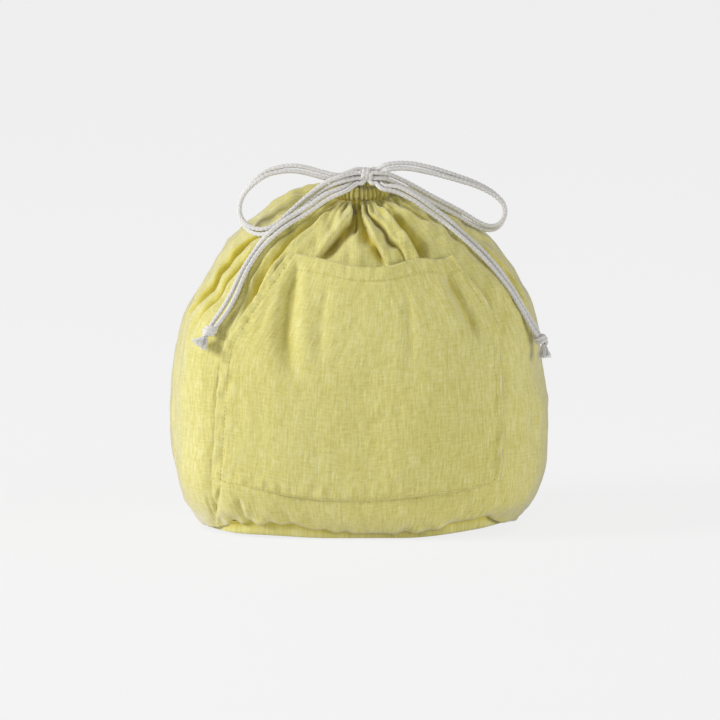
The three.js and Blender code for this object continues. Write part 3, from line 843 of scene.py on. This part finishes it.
def fold_relief(points, normals, lines, start_taper=0.0):
    """How far the folds draw each point in, and the lean of their steep sides over the hollows."""
    total = np.zeros(len(points))
    lean = np.zeros((len(points), 3))
    for depth, left, right, line in lines:
        reach = 4 * max(left, right)
        near = ((points > line.min(0) - reach) & (points < line.max(0) + reach)).all(-1)
        index = np.flatnonzero(near)
        gap = points[index, None] - line[None]
        squares = (gap ** 2).sum(-1)
        nearest = squares.argmin(1)
        distance = np.sqrt(squares.min(1))
        run = np.gradient(line, axis=0)[nearest]
        offset = gap[np.arange(len(index)), nearest]
        to_left = (np.cross(normals[index], run) * offset).sum(-1) > 0
        width = np.where(to_left, left, right)
        steep = width <= min(left, right)
        along = nearest / (len(line) - 1)
        width = width * (0.4 + 0.6 * smoothstep(along, 0.02, 0.35))
        fade = (1 - smoothstep(along, 0.62, 1.0)) * (1 - start_taper * (1 - smoothstep(along, 0, 0.3)))
        trough = bell(distance, width, np.where(steep, STEEP_POWER, SOFT_POWER))
        lip = FOLD_LIP * steep * bell(distance - 2.4 * width, 1.1 * width)
        total[index] += depth * fade * (trough - lip)
        crest = steep * bell(distance - 1.7 * width, 1.2 * width)
        hang = FOLD_HANG * max(depth, 0) * fade * crest
        lean[index] -= offset * (hang / np.maximum(distance, 1e-6))[:, None]
    return total, lean


def neck_pleats(turn):
    """Fine gathers round the mouth, 1 on a ridge and 0 between two of them."""
    wander = 0.9 * np.sin(3 * turn + 0.7) + 0.7 * np.sin(7 * turn + 2.1) + 0.4 * np.sin(13 * turn)
    return (0.5 + 0.5 * np.cos(NECK_PLEATS * turn + wander)) ** 0.8


def soft_limit(depth, limit):
    return limit * np.tanh(depth / limit)


def hidden_folds():
    """Gathers of the back, which the photograph doesn't show, as lines on the body."""
    draw = np.random.default_rng(7)
    lines = []
    for turn in np.arange(42, 142, 8.0):
        drift = math.radians(draw.normal(0, 6))
        start = math.radians(turn + draw.uniform(-3, 3))
        end_way = draw.uniform(0.45, 0.78)
        share = np.linspace(0, 1, 40)
        ways = 0.97 + (end_way - 0.97) * share
        turns = start + drift * share ** 1.5 + math.radians(1.5) * np.sin(7 * share + turn)
        depth = draw.uniform(0.003, 0.008) * math.sin(start) ** 0.7
        width = draw.uniform(0.0018, 0.0042)
        lines.append((depth, width, width * draw.uniform(0.8, 2.0), body_point(ways, turns)))
    return lines


# Pocket outline and the patch that it bounds
def pocket_edges(count):
    """The pocket's left, right, foot and mouth, each as so many even points in pixels."""
    return [even_line(edge, count=count) for edge in (POCKET_LEFT, POCKET_RIGHT, POCKET_FOOT, POCKET_MOUTH)]


def pocket_pixels(across, up):
    """Pixels of the patch at shares from its left edge to its right and from its foot to its mouth."""
    left, right, foot, mouth = pocket_edges(60)
    sides = between(catmull(left, up), catmull(right, up), across[..., None])
    ends = between(catmull(foot, across), catmull(mouth, across), up[..., None])
    corners = np.array((POCKET_FOOT[0], POCKET_FOOT[-1], POCKET_MOUTH[0], POCKET_MOUTH[-1]))
    low, high = (between(*pair, across[..., None]) for pair in (corners[:2], corners[2:]))
    return sides + ends - between(low, high, up[..., None])


def inside_pocket(pixels):
    """Distance in pixels inside the pocket's outline, below 0 outside it."""
    left, right, foot, mouth = pocket_edges(80)
    outline = np.vstack((foot, right[1:], mouth[::-1][1:], left[::-1][1:-1]))
    after = np.roll(outline, -1, axis=0)
    crossings = np.zeros(len(pixels), int)
    least = np.full(len(pixels), 1e9)
    for (ax, ay), (bx, by) in zip(outline, after):
        run = np.array((bx - ax, by - ay))
        rel = pixels - (ax, ay)
        share = np.clip(rel @ run / max(run @ run, 1e-9), 0, 1)
        least = np.minimum(least, np.linalg.norm(rel - share[:, None] * run, axis=1))
        spans = (ay > pixels[:, 1]) != (by > pixels[:, 1])
        with np.errstate(divide="ignore", invalid="ignore"):
            meets = ax + (pixels[:, 1] - ay) / (by - ay) * (bx - ax)
        crossings += spans & (pixels[:, 0] < meets)
    return np.where(crossings % 2 == 1, least, -least)


# Cloth pieces
def cloth_surface(way, turn):
    """The body's cloth with its gathers, folds and wrinkles, and the painted shade of each point, deeper in
    its folds.
    """
    base = body_point(way, turn).reshape(-1, 3)
    normals = body_normal(way, turn).reshape(-1, 3)
    turns, ways = turn.ravel(), way.ravel()
    facing = smoothstep(normals @ CAMERA_BACK, -0.05, 0.25)
    near_neck = bell(np.interp(ways, WAY_TABLE, NECK_DISTANCE), NECK_PLEAT_REACH, 1.4)
    pleats = NECK_PLEAT_DEPTH * (neck_pleats(turns) - 0.5) * near_neck
    folds, lean = fold_relief(base, normals, photo_lines(FOLDS) + hidden_folds(), 0.35)
    folds = soft_limit(folds, FOLD_LIMIT)
    steps = fold_relief(base, normals, photo_lines(STEPS), 0.35)[0]
    shoulder = smoothstep(base[:, 2], 0.1, 0.2) * facing
    streaks = rippled(base, PANEL_STREAKS) + rippled(base, SHOULDER_STREAKS) * shoulder
    crumple = PANEL_CRUMPLE * creased(base, CREASE_LENGTH, 5) + rippled(base, PANEL_GRAIN)
    pushed = POCKET_ROOM * smoothstep(inside_pocket(pixel_of(base)), 0, 9) * facing
    from_seam = np.maximum(base[:, 2] - np.interp(turns, *SEAM_LINE), 0)
    puckers = rippled(base, PANEL_PUCKERS) * bell(from_seam, PUCKER_REACH, 1.2)
    puckers *= 1 - 0.75 * corner_wrap(base)
    at_seam = bell(from_seam, SEAM_WIDTH) * (1 - corner_wrap(base))
    side_seam = SIDE_SEAM_DEPTH * bell(base[:, 1], SIDE_SEAM_WIDTH)
    out = streaks + rippled(base, PANEL_LUMPS) + crumple + puckers + pleats
    out = out - folds - steps - pushed - SEAM_DEPTH * at_seam - side_seam
    points = base + lean + normals * out[:, None]
    points[:, 0] += side_trim(base)
    points[:, 2] += crest_lift(base, ways) + corner_lift(base)
    # Painted shade: deeper in the folds, in the grooves between the neck gathers, on the faces of the
    # steepest folds and along the bottom seam.
    painted_shade = smoothstep(folds, 0.0012, 0.0075) + 0.8 * (1 - neck_pleats(turns)) ** 1.5 * near_neck
    painted_shade += np.maximum(fold_relief(base, normals, photo_lines(PAINTED_SHADES), 0.2)[0], 0) + 0.7 * at_seam
    return draw_into_casing(points, ways, turns).reshape(*way.shape, 3), np.clip(painted_shade, 0, 1)


def side_trim(base):
    """How far in the slack sides hang from the model's, at each height."""
    share = base[:, 0] / half_size(base[:, 2], 0)
    left = np.interp(base[:, 2], *np.transpose(LEFT_TRIM)) * smoothstep(-share, 0.7, 1)
    right = np.interp(base[:, 2], *np.transpose(RIGHT_TRIM)) * smoothstep(share, 0.7, 1)
    return left - right


def crest_lift(base, ways):
    """The stuffed crown stands a little fuller behind the bow than in front of it."""
    high = smoothstep(ways, 0.66, 0.84) * (1 - smoothstep(ways, 0.95, 0.99))
    fuller = 1 + LEFT_FULLNESS * smoothstep(-base[:, 0], 0.030, 0.055)
    return CREST_LIFT * high * fuller * smoothstep(base[:, 1], -0.016, 0.010)


def corner_lift(base):
    """The stuffed bottom curls up off the floor at its front corners."""
    right = RIGHT_CORNER_LIFT * smoothstep(base[..., 0], 0.030, 0.100)
    left = LEFT_CORNER_LIFT * smoothstep(-base[..., 0], 0.020, 0.065)
    low_front = smoothstep(-base[..., 1], -0.01, 0.04) * (1 - smoothstep(base[..., 2], 0.004, 0.03))
    return (right + left) * low_front


def corner_wrap(base):
    """1 at the front corners, where the panel wraps under and hides the seam, and 0 elsewhere."""
    return smoothstep(np.abs(base[..., 0]), 0.080, 0.098) * smoothstep(-base[..., 1], -0.02, 0.02)


def draw_into_casing(points, ways, turns):
    """The top edge of the cloth runs up inside the foot of the casing."""
    share = np.clip((ways - NECK_START) / (1 - NECK_START), 0, 1)[:, None]
    outward = turned(1, turns, 0)
    start = body_point(np.full_like(turns, NECK_START), turns)
    pinch = NECK_PINCH * (neck_pleats(turns) - 0.5)[:, None]
    bend = outward * (NECK_RADIUS - NECK_BEND_INSET + pinch) + (0, 0, NECK_HEIGHT - NECK_BEND_DROP)
    end = outward * (NECK_RADIUS - NECK_TUCK + 0.5 * pinch) + (0, 0, CASING_FOOT + NECK_TUCK)
    hold = smoothstep(share, 0.25, 0.75)
    return points + (curve(start, bend, end, share) - points) * hold


def front_seam():
    """The seam round the bottom as height over turn: as seen along the front, wavering elsewhere."""
    turn = np.linspace(0, 2 * math.pi, 721)
    place = np.stack((np.cos(turn), np.sin(turn)), -1) * SEAM_PLAN
    height = SEAM_HEIGHT + SEAM_WAVER * ripple(place, wavelength=0.05, seed=8, waves=6)
    points = seen(even_line(BOTTOM_SEAM, count=120))
    points[:, 2] -= corner_lift(points * (1, 1, 0))
    shown = np.arctan2(points[:, 1], points[:, 0]) % (2 * math.pi)
    order = np.argsort(shown)
    seen_height = np.interp(turn, shown[order], points[order, 2])
    within = smoothstep(turn, shown.min() - 0.1, shown.min() + 0.1)
    within = within * (1 - smoothstep(turn, shown.max() - 0.1, shown.max() + 0.1))
    height = np.clip(height + (seen_height - height) * within, SEAM_LOWEST, SEAM_HIGHEST)
    return turn, height + (LEVELS[0, 2] - height) * corner_wrap(body_point(np.zeros_like(turn), turn))


SEAM_LINE = front_seam()


def panel_grid(start_turn):
    turn = start_turn + np.linspace(0, math.pi, PANEL_COLUMNS + 1)
    rise = 1 - NECK_DISTANCE / NECK_DISTANCE[0]
    even = np.interp(np.linspace(0, 1, PANEL_ROWS + 1), rise, WAY_TABLE)
    first = way_at(np.interp(turn, *SEAM_LINE))
    way = first + (1 - first) * even[:, None]
    return way, np.broadcast_to(turn, way.shape)


def make_panel(name, start_turn, material):
    way, turn = panel_grid(start_turn)
    points, painted_shade = cloth_surface(way, turn)
    up = NECK_DISTANCE[0] - np.interp(way, WAY_TABLE, NECK_DISTANCE)
    cloth = np.stack((turn * CLOTH_RADIUS, up), -1)
    return make_cloth(name, points, grid_faces(*way.shape), material, cloth, painted_shade)


def make_bottom(material):
    """The bottom panel, flat on the floor and rolling up all round into the puckered seam."""
    columns = 2 * PANEL_COLUMNS
    turn = np.linspace(0, 2 * math.pi, columns, endpoint=False)
    outward = turned(1, turn, 0)
    seam = np.interp(turn, *SEAM_LINE)
    edge = body_point(np.zeros_like(turn), turn)
    drawn_in = outward * (CORNER_DRAW * corner_wrap(edge))[:, None]
    edge = edge - drawn_in
    inset = SEAM_DEPTH + CLOTH + BOTTOM_INSET
    top = body_point(way_at(seam + BOTTOM_LAP), turn) - outward * inset - drawn_in
    bulge = body_point(way_at(BULGE_SHARE * seam), turn) - outward * BULGE_INSET - drawn_in
    rows = []
    for share in np.linspace(0.02, 0.985, BOTTOM_ROWS):
        row = edge * share
        row[:, 2] = BOTTOM_GROUND + (BOTTOM_WAVE + rippled(row, BOTTOM_WAVES)) * (1 - share ** 6)
        rows.append(row)
    roll = even_roll(rows[-1], bulge, top)
    puckers = rippled(roll, BOTTOM_PUCKERS) * np.linspace(0, 1, len(roll))[:, None]
    points = np.concatenate((np.array(rows), roll + outward * puckers[..., None]))
    points[..., 2] += corner_lift(points) * smoothstep(np.linspace(0, 1, len(points)), 0.3, 0.75)[:, None]
    faces = [*grid_faces(len(points), columns, True), list(range(columns))[::-1]]
    from_top = np.broadcast_to(np.arange(len(points))[::-1, None], points.shape[:2])
    # Painted shade on the top rows of the roll, where it turns in under the seam.
    painted_shade = 1 - smoothstep(from_top, 3, 7)
    return make_cloth("bottom_cloth", points, faces, material, points[..., :2], painted_shade)


def even_roll(start, bulge, top):
    """Rows that leave the floor, swell out to the bulge and turn in to the top."""
    low = np.concatenate((bulge[:, :2], np.full((len(bulge), 1), ROLL_GROUND)), -1)
    high = np.concatenate((bulge[:, :2], top[:, 2:]), -1)
    shares = np.linspace(0, 1, ROLL_ROWS)[1:, None, None]
    return np.concatenate((curve(start, low, bulge, shares), curve(bulge, high, top, shares)))


def pocket_surface(across, up):
    """The patch: sewn flat along its sides and foot, standing off a little at its mouth."""
    base = seen(pocket_pixels(across, up))
    normals = surface_normal(base)
    from_left, from_right = across * POCKET_WIDTH, (1 - across) * POCKET_WIDTH
    from_foot, from_mouth = up * POCKET_HEIGHT, (1 - up) * POCKET_HEIGHT
    edge = np.minimum(np.minimum(from_left, from_right), from_foot)
    inner = smoothstep(edge, 0.002, 0.02)
    middle = 1 - (2 * across - 1) ** 2
    gape = POCKET_GAPE * middle ** 1.5 * smoothstep(up, 0.3, 1)
    stitched = (
        (from_left, LEFT_STITCH_INSET), (from_right, RIGHT_STITCH_INSET), (from_foot, FOOT_STITCH_INSET)
    )
    sewn = STITCH_DENT * sum(bell(gap - inset, STITCH_DENT_WIDTH) for gap, inset in stitched)
    sides = bell(from_left, LEFT_FLANGE, 4) + bell(from_right, RIGHT_FLANGE, 4)
    flange = FLANGE_RISE * sides * smoothstep(up, 0, 0.08)
    puckers = rippled(base, POCKET_PUCKERS) * bell(edge, POCKET_PUCKER_REACH)
    hem = HEM_RISE * smoothstep(from_mouth, HEM_DEPTH + 0.0008, HEM_DEPTH - 0.0004)
    hem_dent = HEM_DENT * bell(from_mouth - HEM_DEPTH, HEM_DENT_WIDTH)
    creases = fold_relief(base.reshape(-1, 3), normals.reshape(-1, 3), photo_lines(POCKET_CREASES), 1.0)[0]
    creases = creases.reshape(across.shape) * inner
    crumple = POCKET_CRUMPLE * creased(base, CREASE_LENGTH, 14) + rippled(base, POCKET_GRAIN)
    gathers = rippled(base, POCKET_GATHERS) * smoothstep(up, 0.87, 0.97)
    stand = POCKET_STAND + POCKET_RISE * smoothstep(from_foot, 0.0005, 0.004)
    out = stand + gape + flange - sewn + puckers + hem - hem_dent
    out = out + rippled(base, POCKET_LUMPS) * inner - creases
    out = out + rippled(base, POCKET_STREAKS) + gathers + crumple
    room = (POCKET_ROOM - POCKET_GAP) * smoothstep(np.minimum(edge, from_mouth), 0.003, 0.009)
    points = base + normals * np.maximum(out, POCKET_STAND - room)[..., None]
    # The second value is painted shade along the pocket's deeper creases.
    return points, 0.35 * smoothstep(creases, 0.0015, 0.0060)


def make_pocket(material):
    across, up = np.meshgrid(np.linspace(0, 1, POCKET_COLUMNS + 1), np.linspace(0, 1, POCKET_ROWS + 1))
    points, painted_shade = pocket_surface(across, up)
    cloth = np.stack((across, up), -1) * POCKET_WEAVE + POCKET_WEAVE_START
    return make_cloth("pocket_cloth", points, grid_faces(*across.shape), material, cloth, painted_shade, 1)


def flattened(wave):
    """A wave from -1 to 1 with fuller crests."""
    return np.sign(wave) * np.abs(wave) ** 0.75


def make_casing(name, start_turn, material):
    """Half of the drawn casing: cloth folded over the cords, fluted by its gathers."""
    turn = start_turn + np.linspace(CASING_END, math.pi - CASING_END, CASING_COLUMNS)
    bend = np.linspace(-0.5 * math.pi - 0.25, 1.5 * math.pi - 0.6, CASING_ROWS)
    turn, bend = np.meshgrid(turn, bend)
    pleats = neck_pleats(turn) - 0.55
    wander = rippled(np.stack((np.cos(turn), np.sin(turn), 0.3 * bend), -1) * 0.02, CASING_WANDER)
    out = CASING_HALF_WIDTH * flattened(np.cos(bend)) + CASING_FLUTE * pleats * np.cos(bend)
    height = CASING_MIDDLE + (CASING_HEIGHT / 2 + CASING_FRILL * pleats) * flattened(np.sin(bend))
    points = turned(CASING_RADIUS + out + wander, turn, height)
    cloth = np.stack((turn * CLOTH_RADIUS, bend * CASING_HEIGHT / 2), -1)
    pinched = bell(height - CASING_FOOT, CASING_PINCH)
    # Painted shade in the grooves between the gathers and along the pinch at the casing's foot.
    painted_shade = np.clip((1 - neck_pleats(turn)) ** 1.5 + 0.6 * pinched, 0, 1)
    return make_cloth(name, points, grid_faces(*turn.shape), material, cloth, painted_shade)


# Sewing
def stitch_row(line, normals, material, name, stitch):
    """One thread stitch after another along a line of points, each a small bent capsule."""
    length, gap, radius = stitch
    count = int(line_length(line) / (length + gap))
    ends = even_line(line, count=count + 1)
    nearest = [int(((line - p) ** 2).sum(1).argmin()) for p in ends[:-1]]
    points, faces = [], []
    sides, rings = 6, 6
    for start, end, at in zip(ends[:-1], ends[1:], nearest):
        run = unit(end - start)
        out = unit(normals[at] - run * (normals[at] @ run))
        aside = np.cross(run, out)
        faces += tube_faces(rings, sides, len(points))
        for ring in np.linspace(0, 1, rings):
            swell = math.sqrt(max(1 - (2 * ring - 1) ** 2, 0.06))
            middle = start + run * length * ring + out * radius * (1.3 * swell - 0.7)
            for angle in np.linspace(0, 2 * math.pi, sides, endpoint=False):
                points.append(middle + radius * swell * (out * math.cos(angle) + aside * math.sin(angle)))
    return make_piece(name, np.array(points), faces, material)


def pocket_stitches(material):
    """Topstitching just inside the sides, foot and mouth hem of the pocket."""
    left, right = LEFT_STITCH_INSET / POCKET_WIDTH, 1 - RIGHT_STITCH_INSET / POCKET_WIDTH
    foot, hem = FOOT_STITCH_INSET / POCKET_HEIGHT, 1 - HEM_DEPTH / POCKET_HEIGHT
    share = np.linspace(0, 1, 240)
    rows = {
        "left": (np.full_like(share, left), foot + (1 - foot) * share),
        "right": (np.full_like(share, right), foot + (1 - foot) * share),
        "foot": (left + (right - left) * share, np.full_like(share, foot)),
        "hem": (left + (right - left) * share, np.full_like(share, hem)),
    }
    made = []
    for name, (across, up) in rows.items():
        line = pocket_surface(across, up)[0]
        normals = surface_normal(line)
        name = f"pocket_{name}_stitches"
        made.append(stitch_row(line + normals * CLOTH, normals, material, name, POCKET_STITCH))
    return made


def casing_stitches(name, start_turn, material):
    """The row of sewing that closes the foot of the casing."""
    turn = start_turn + np.linspace(CASING_END, math.pi - CASING_END, 400)
    dip = CASING_STITCH_INSET * (neck_pleats(turn) - 0.6)
    radius = CASING_RADIUS + CASING_HALF_WIDTH - CASING_STITCH_INSET + dip
    line = turned(radius, turn, CASING_FOOT + CASING_STITCH_RISE)
    return stitch_row(line, unit(line * (1, 1, 0)), material, name, CASING_STITCH)


# Cords
def ring_frames(line):
    """Two directions square to the line at each of its points, turning as little as they can."""
    runs = unit(np.gradient(line, axis=0))
    aside = unit(np.cross(runs[0], (0.3, 0.5, 0.8)))
    first, second = [], []
    for run in runs:
        aside = unit(aside - run * (aside @ run))
        first.append(aside)
        second.append(np.cross(run, aside))
    return np.array(first), np.array(second)


def tube_points(line, reach, sides):
    """Rings of points round a line, at a reach for each ring or for each point."""
    first, second = ring_frames(line)
    angle = np.linspace(0, 2 * math.pi, sides, endpoint=False)[:, None]
    outward = first[:, None] * np.cos(angle) + second[:, None] * np.sin(angle)
    return line[:, None] + reach[..., None] * outward


def braid(angle, distance):
    """Relief of a braided cord: rows of slanting stitches that meet in chevrons."""
    within = np.abs((angle * BRAID_COLUMNS / (2 * math.pi)) % 1 - 0.5) * 2
    slant = np.cos(2 * math.pi * (distance / BRAID_PITCH + BRAID_SLANT * within))
    return BRAID_SWELL * slant - BRAID_GROOVE * bell(1 - within, BRAID_GROOVE_WIDTH) + BRAID_LIFT


def cord_mesh(name, line, material, radius=YARN_RADIUS, sides=24):
    angle = np.linspace(0, 2 * math.pi, sides, endpoint=False)
    relief = braid(angle, distances(line)[:, None])
    points = tube_points(line, radius * (1 + relief), sides)
    piece = make_piece(name, points, tube_faces(len(line), sides), material)
    # Painted shade, deeper in the grooves of the braid and fainter on its swells.
    paint_shade(piece, np.clip(0.45 - 4 * relief, 0, 1))
    return piece


def at_knot_face(side, y, z):
    reach = KNOT_HALF_WIDTH + CORD_CLEARANCE
    return [KNOT_CENTRE + (side * x, y, z) for x in (reach, reach + CORD_DIAMETER)]


def loop_strands(stations, side):
    starts = at_knot_face(side, CORD_RADIUS, HALF_PITCH)
    ends = at_knot_face(side, CORD_RADIUS - STRAND_PITCH, 0)[::-1]
    middles = np.array([*starts, *(s[:3] for s in stations), *ends])
    leans = np.radians([0, 0, *(s[3] for s in stations), 180, 180])
    aside = np.stack((np.zeros_like(leans), np.sin(leans), np.cos(leans)), -1)
    runs = unit(middles[2:] - middles[:-2])
    inner = slice(2, -2)
    aside[inner] = unit(aside[inner] - runs[1:-1] * (aside[inner] * runs[1:-1]).sum(-1, keepdims=True))
    return [middles + strand * HALF_PITCH * aside for strand in (1, -1)]


def tail_stations(air, laid, side):
    middles = [*at_knot_face(side, -HALF_PITCH, -TAIL_DROP), *(np.array(station[:3]) for station in air)]
    leans = np.radians([0, 0, *(station[3] for station in air)])
    normals = [np.array((0, -math.sin(lean), math.cos(lean))) for lean in leans]
    spreads = [1.0] * len(middles)
    for i, (share, rise, spread) in enumerate(laid):
        point, normal = front_place(share, rise * NECK_HEIGHT)
        lift = CORD_RADIUS if i + 1 < len(laid) else END_KNOT_RADIUS
        middles.append(point + normal * (lift + CORD_CLEARANCE))
        normals.append(normal)
        spreads.append(spread)
    return np.array(middles), np.array(normals), np.array(spreads)


def tail_strands(middles, normals, spreads):
    before = np.vstack((middles[:1], middles[:-1]))
    after = np.vstack((middles[1:], middles[-1:]))
    across = unit(np.cross(normals, after - before))
    return [middles + strand * HALF_PITCH * spreads[:, None] * across for strand in (1, -1)]


def drawcord_line(side, radius, lead_in, lead_out):
    ring_end = CASING_END - RING_OVERRUN
    turn = (math.pi if side < 0 else 0) - side * np.linspace(ring_end, 2 * math.pi - ring_end, 27)
    back = KNOT_RADIUS + 2 * CORD_CLEARANCE
    seats = [KNOT_CENTRE + (side * HALF_PITCH, back, z) for z in (-HALF_PITCH, HALF_PITCH)]
    return np.vstack((seats[0], lead_in, turned(radius, turn, CASING_MIDDLE), lead_out, seats[1]))


def knot_frame(place, direction):
    """Carries a piece made along +X to a place, with +X along a direction."""
    along = Vector(direction).normalized()
    return Matrix.Translation(Vector(place)) @ along.to_track_quat("X", "Z").to_matrix().to_4x4()


def make_end_knot(name, place, direction, material):
    """An overhand knot drawn tight: slanting turns of the doubled cord round itself."""
    share = np.linspace(-1, 1, 170)
    turn = END_KNOT_TURNS * math.pi * share
    slim = np.sqrt(1 - (END_KNOT_TAPER * share) ** 2)
    reach = (END_KNOT_RADIUS - 0.85 * CORD_RADIUS) * slim
    line = np.stack((
        (END_KNOT_LENGTH / 2 - 0.8 * CORD_RADIUS) * share + END_KNOT_SLANT * np.sin(turn),
        reach * np.cos(turn),
        reach * np.sin(turn),
    ), -1)
    piece = cord_mesh(name, line, material, 0.95 * CORD_RADIUS, 14)
    piece.data.transform(knot_frame(place, direction))
    return piece


def make_tuft(name, place, direction, fan, material):
    """The cut strands combed out into single yarns."""
    draw = np.random.default_rng(21)
    points, faces = [], []
    sides, rings = 5, 7
    share = np.linspace(0, 1, rings)
    for _ in range(TUFT_YARNS):
        turn = draw.uniform(0, 2 * math.pi)
        spread = math.sqrt(draw.uniform(0, 1))
        length = TUFT_LENGTH * draw.uniform(0.75, 1.05)
        flare = fan * TUFT_RADIUS * spread * draw.uniform(0.8, 1.05)
        root = 0.7 * CORD_RADIUS * spread
        curl = draw.normal(0, TUFT_CURL, 2)
        radial = root + (flare - root) * share ** 1.5
        line = np.stack((
            length * share - TUFT_SUNK,
            radial * math.cos(turn) + curl[0] * np.sin(4 * share),
            0.6 * radial * math.sin(turn) + curl[1] * np.sin(4 * share),
        ), -1)
        faces += tube_faces(rings, sides, len(points))
        points += list(tube_points(line, TUFT_YARN_RADIUS * (1 - 0.5 * share)[:, None], sides).reshape(-1, 3))
    piece = make_piece(name, np.array(points), faces, material)
    piece.data.transform(knot_frame(place, direction))
    return piece


def make_bow_knot(material):
    """Two turns of cord wound round the crossing of the loops."""
    share = np.linspace(-1, 1, 220)
    turn = BOW_TURNS * math.pi * share
    line = KNOT_CENTRE + np.stack((
        BOW_SPAN * KNOT_HALF_WIDTH * share + BOW_SLANT * np.sin(turn),
        -(STRAND_PITCH - BOW_FLATNESS) * np.cos(turn),
        (STRAND_PITCH + BOW_RISE) * np.sin(turn),
    ), -1)
    return cord_mesh("bow_knot_cord", line, material)


def tie_cords(material):
    """Every cord piece, with what it stands for."""
    for name, side, radius, lead_in, lead_out in (
        ("left", -1, CASING_RADIUS - HALF_PITCH, LEFT_LEAD_IN, LEFT_LEAD_OUT),
        ("right", 1, CASING_RADIUS + HALF_PITCH, RIGHT_LEAD_IN, RIGHT_LEAD_OUT),
    ):
        line = even_line(drawcord_line(side, radius, lead_in, lead_out), spacing=CORD_RING)
        cord = cord_mesh(f"{name}_drawcord_cord", line, material)
        dress(cord, "cotton_cord", "bag", f"{name}_drawcord")
    dress(make_bow_knot(material), "cotton_cord", "bag", "bow_knot")
    for name, side, loop, air, laid in (
        ("left", -1, LEFT_LOOP, LEFT_TAIL_AIR, LEFT_TAIL_LAID),
        ("right", 1, RIGHT_LOOP, RIGHT_TAIL_AIR, RIGHT_TAIL_LAID),
    ):
        tie_loop(name, side, loop, material)
        tie_tail(name, side, air, laid, material)


def tie_loop(name, side, stations, material):
    heart = KNOT_CENTRE + (0, 0.5 * CORD_RADIUS, 0)
    for number, points in enumerate(loop_strands(stations, side), 1):
        line = even_line(np.vstack((heart, points, heart)), spacing=CORD_RING)
        strand = cord_mesh(f"{name}_loop_cord_{number}", line, material)
        dress(strand, "cotton_cord", None, f"{name}_loop_strand_{number}")
        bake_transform(strand)


def tie_tail(name, side, air, laid, material):
    body = f"{name}_tail"
    stations = tail_stations(air, laid, side)
    middles = stations[0]
    direction = unit(middles[-1] - middles[-2])
    knot_place = middles[-1] + direction * (END_KNOT_LENGTH + CORD_CLEARANCE) / 2
    tuft_place = middles[-1] + direction * (END_KNOT_LENGTH + 1.5 * CORD_CLEARANCE)
    knot = make_end_knot(f"{name}_end_knot_cord", knot_place, direction, material)
    fan, lean = TUFT_FANS[name]
    tuft = make_tuft(f"{name}_tuft_yarns", tuft_place, unit(direction + lean), fan, material)
    dress(knot, "cotton_cord", body, f"{name}_end_knot")
    dress(tuft, "cotton_cord", body, f"{name}_tuft")
    heart = KNOT_CENTRE + (0, -0.5 * CORD_RADIUS, -CORD_RADIUS)
    for number, points in enumerate(tail_strands(*stations), 1):
        points = np.vstack((heart, points, knot_place + 0.25 * (points[-1] - middles[-1])))
        line = even_line(points, spacing=CORD_RING)
        strand = cord_mesh(f"{name}_tail_cord_{number}", line, material)
        dress(strand, "cotton_cord", None, f"{name}_tail_root_{number}", f"{name}_tail_strand_{number}")
        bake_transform(strand)


def sew_pouch():
    linen = linen_material()
    thread = thread_material()
    halves = (("front", math.pi), ("back", 0))
    panels = [make_panel(f"{name}_cloth", start, linen) for name, start in halves]
    bottom = make_bottom(linen)
    pocket = make_pocket(linen)
    casings = [make_casing(f"{name}_casing_cloth", start, linen) for name, start in halves]
    for (name, _), panel, casing in zip(halves, panels, casings):
        dress(panel, "linen", "bag", f"{name}_panel")
        dress(casing, "linen", "bag", f"{name}_casing")
    dress(bottom, "linen", "bag", "bottom_panel")
    dress(pocket, "linen", "bag", "front_pocket")
    stitches = pocket_stitches(thread)
    stitches += [casing_stitches(f"{name}_casing_stitches", start, thread) for name, start in halves]
    for row in stitches:
        dress(row, "linen", "bag")


# Light and floor
def make_light(name, place, size, power):
    data = bpy.data.lights.new(name, "AREA")
    data.shape = "DISK"
    data.size = size
    data.energy = power
    lamp = add_object(name, data)
    lamp.location = place
    lamp.rotation_euler = (Vector(LAMP_TARGET) - Vector(place)).to_track_quat("-Z", "Y").to_euler()


def make_floor():
    """A wide pale floor that the camera sees as an even light grey under the pouch's soft shadow."""
    half = FLOOR_HALF_SIDE
    corners = [(-half, -half, 0), (half, -half, 0), (half, half, 0), (-half, half, 0)]
    material, tree, shader = new_material(
        "pale_floor", Base_Color=FLOOR_GREY, Roughness=1.0, Specular_IOR_Level=0.0
    )
    even = add_node(tree, "ShaderNodeEmission", Color=FLOOR_EVEN_GREY, Strength=1.0).outputs[0]
    path = add_node(tree, "ShaderNodeLightPath")
    share = math_node(tree, "MULTIPLY", path.outputs["Is Camera Ray"], FLOOR_EVEN_SHARE)
    mixed = add_node(tree, "ShaderNodeMixShader", [(share, 0), (shader.outputs[0], 1), (even, 2)])
    tree.links.new(mixed.outputs[0], tree.nodes["Material Output"].inputs["Surface"])
    floor = make_piece("floor", corners, [(0, 1, 2, 3)], material)
    floor.location.z = -FLOOR_DROP


def make_world():
    world = bpy.data.worlds.new("studio")
    bpy.context.scene.world = world
    world.use_nodes = True
    background = world.node_tree.nodes["Background"]
    background.inputs["Color"].default_value = (1, 1, 1, 1)
    background.inputs["Strength"].default_value = WORLD_STRENGTH


make_camera()
tie_cords(cotton_material())
sew_pouch()
make_floor()
make_world()
for lamp_name, lamp in LAMPS.items():
    make_light(lamp_name, *lamp)
bpy.context.scene.view_settings.view_transform = "Standard"
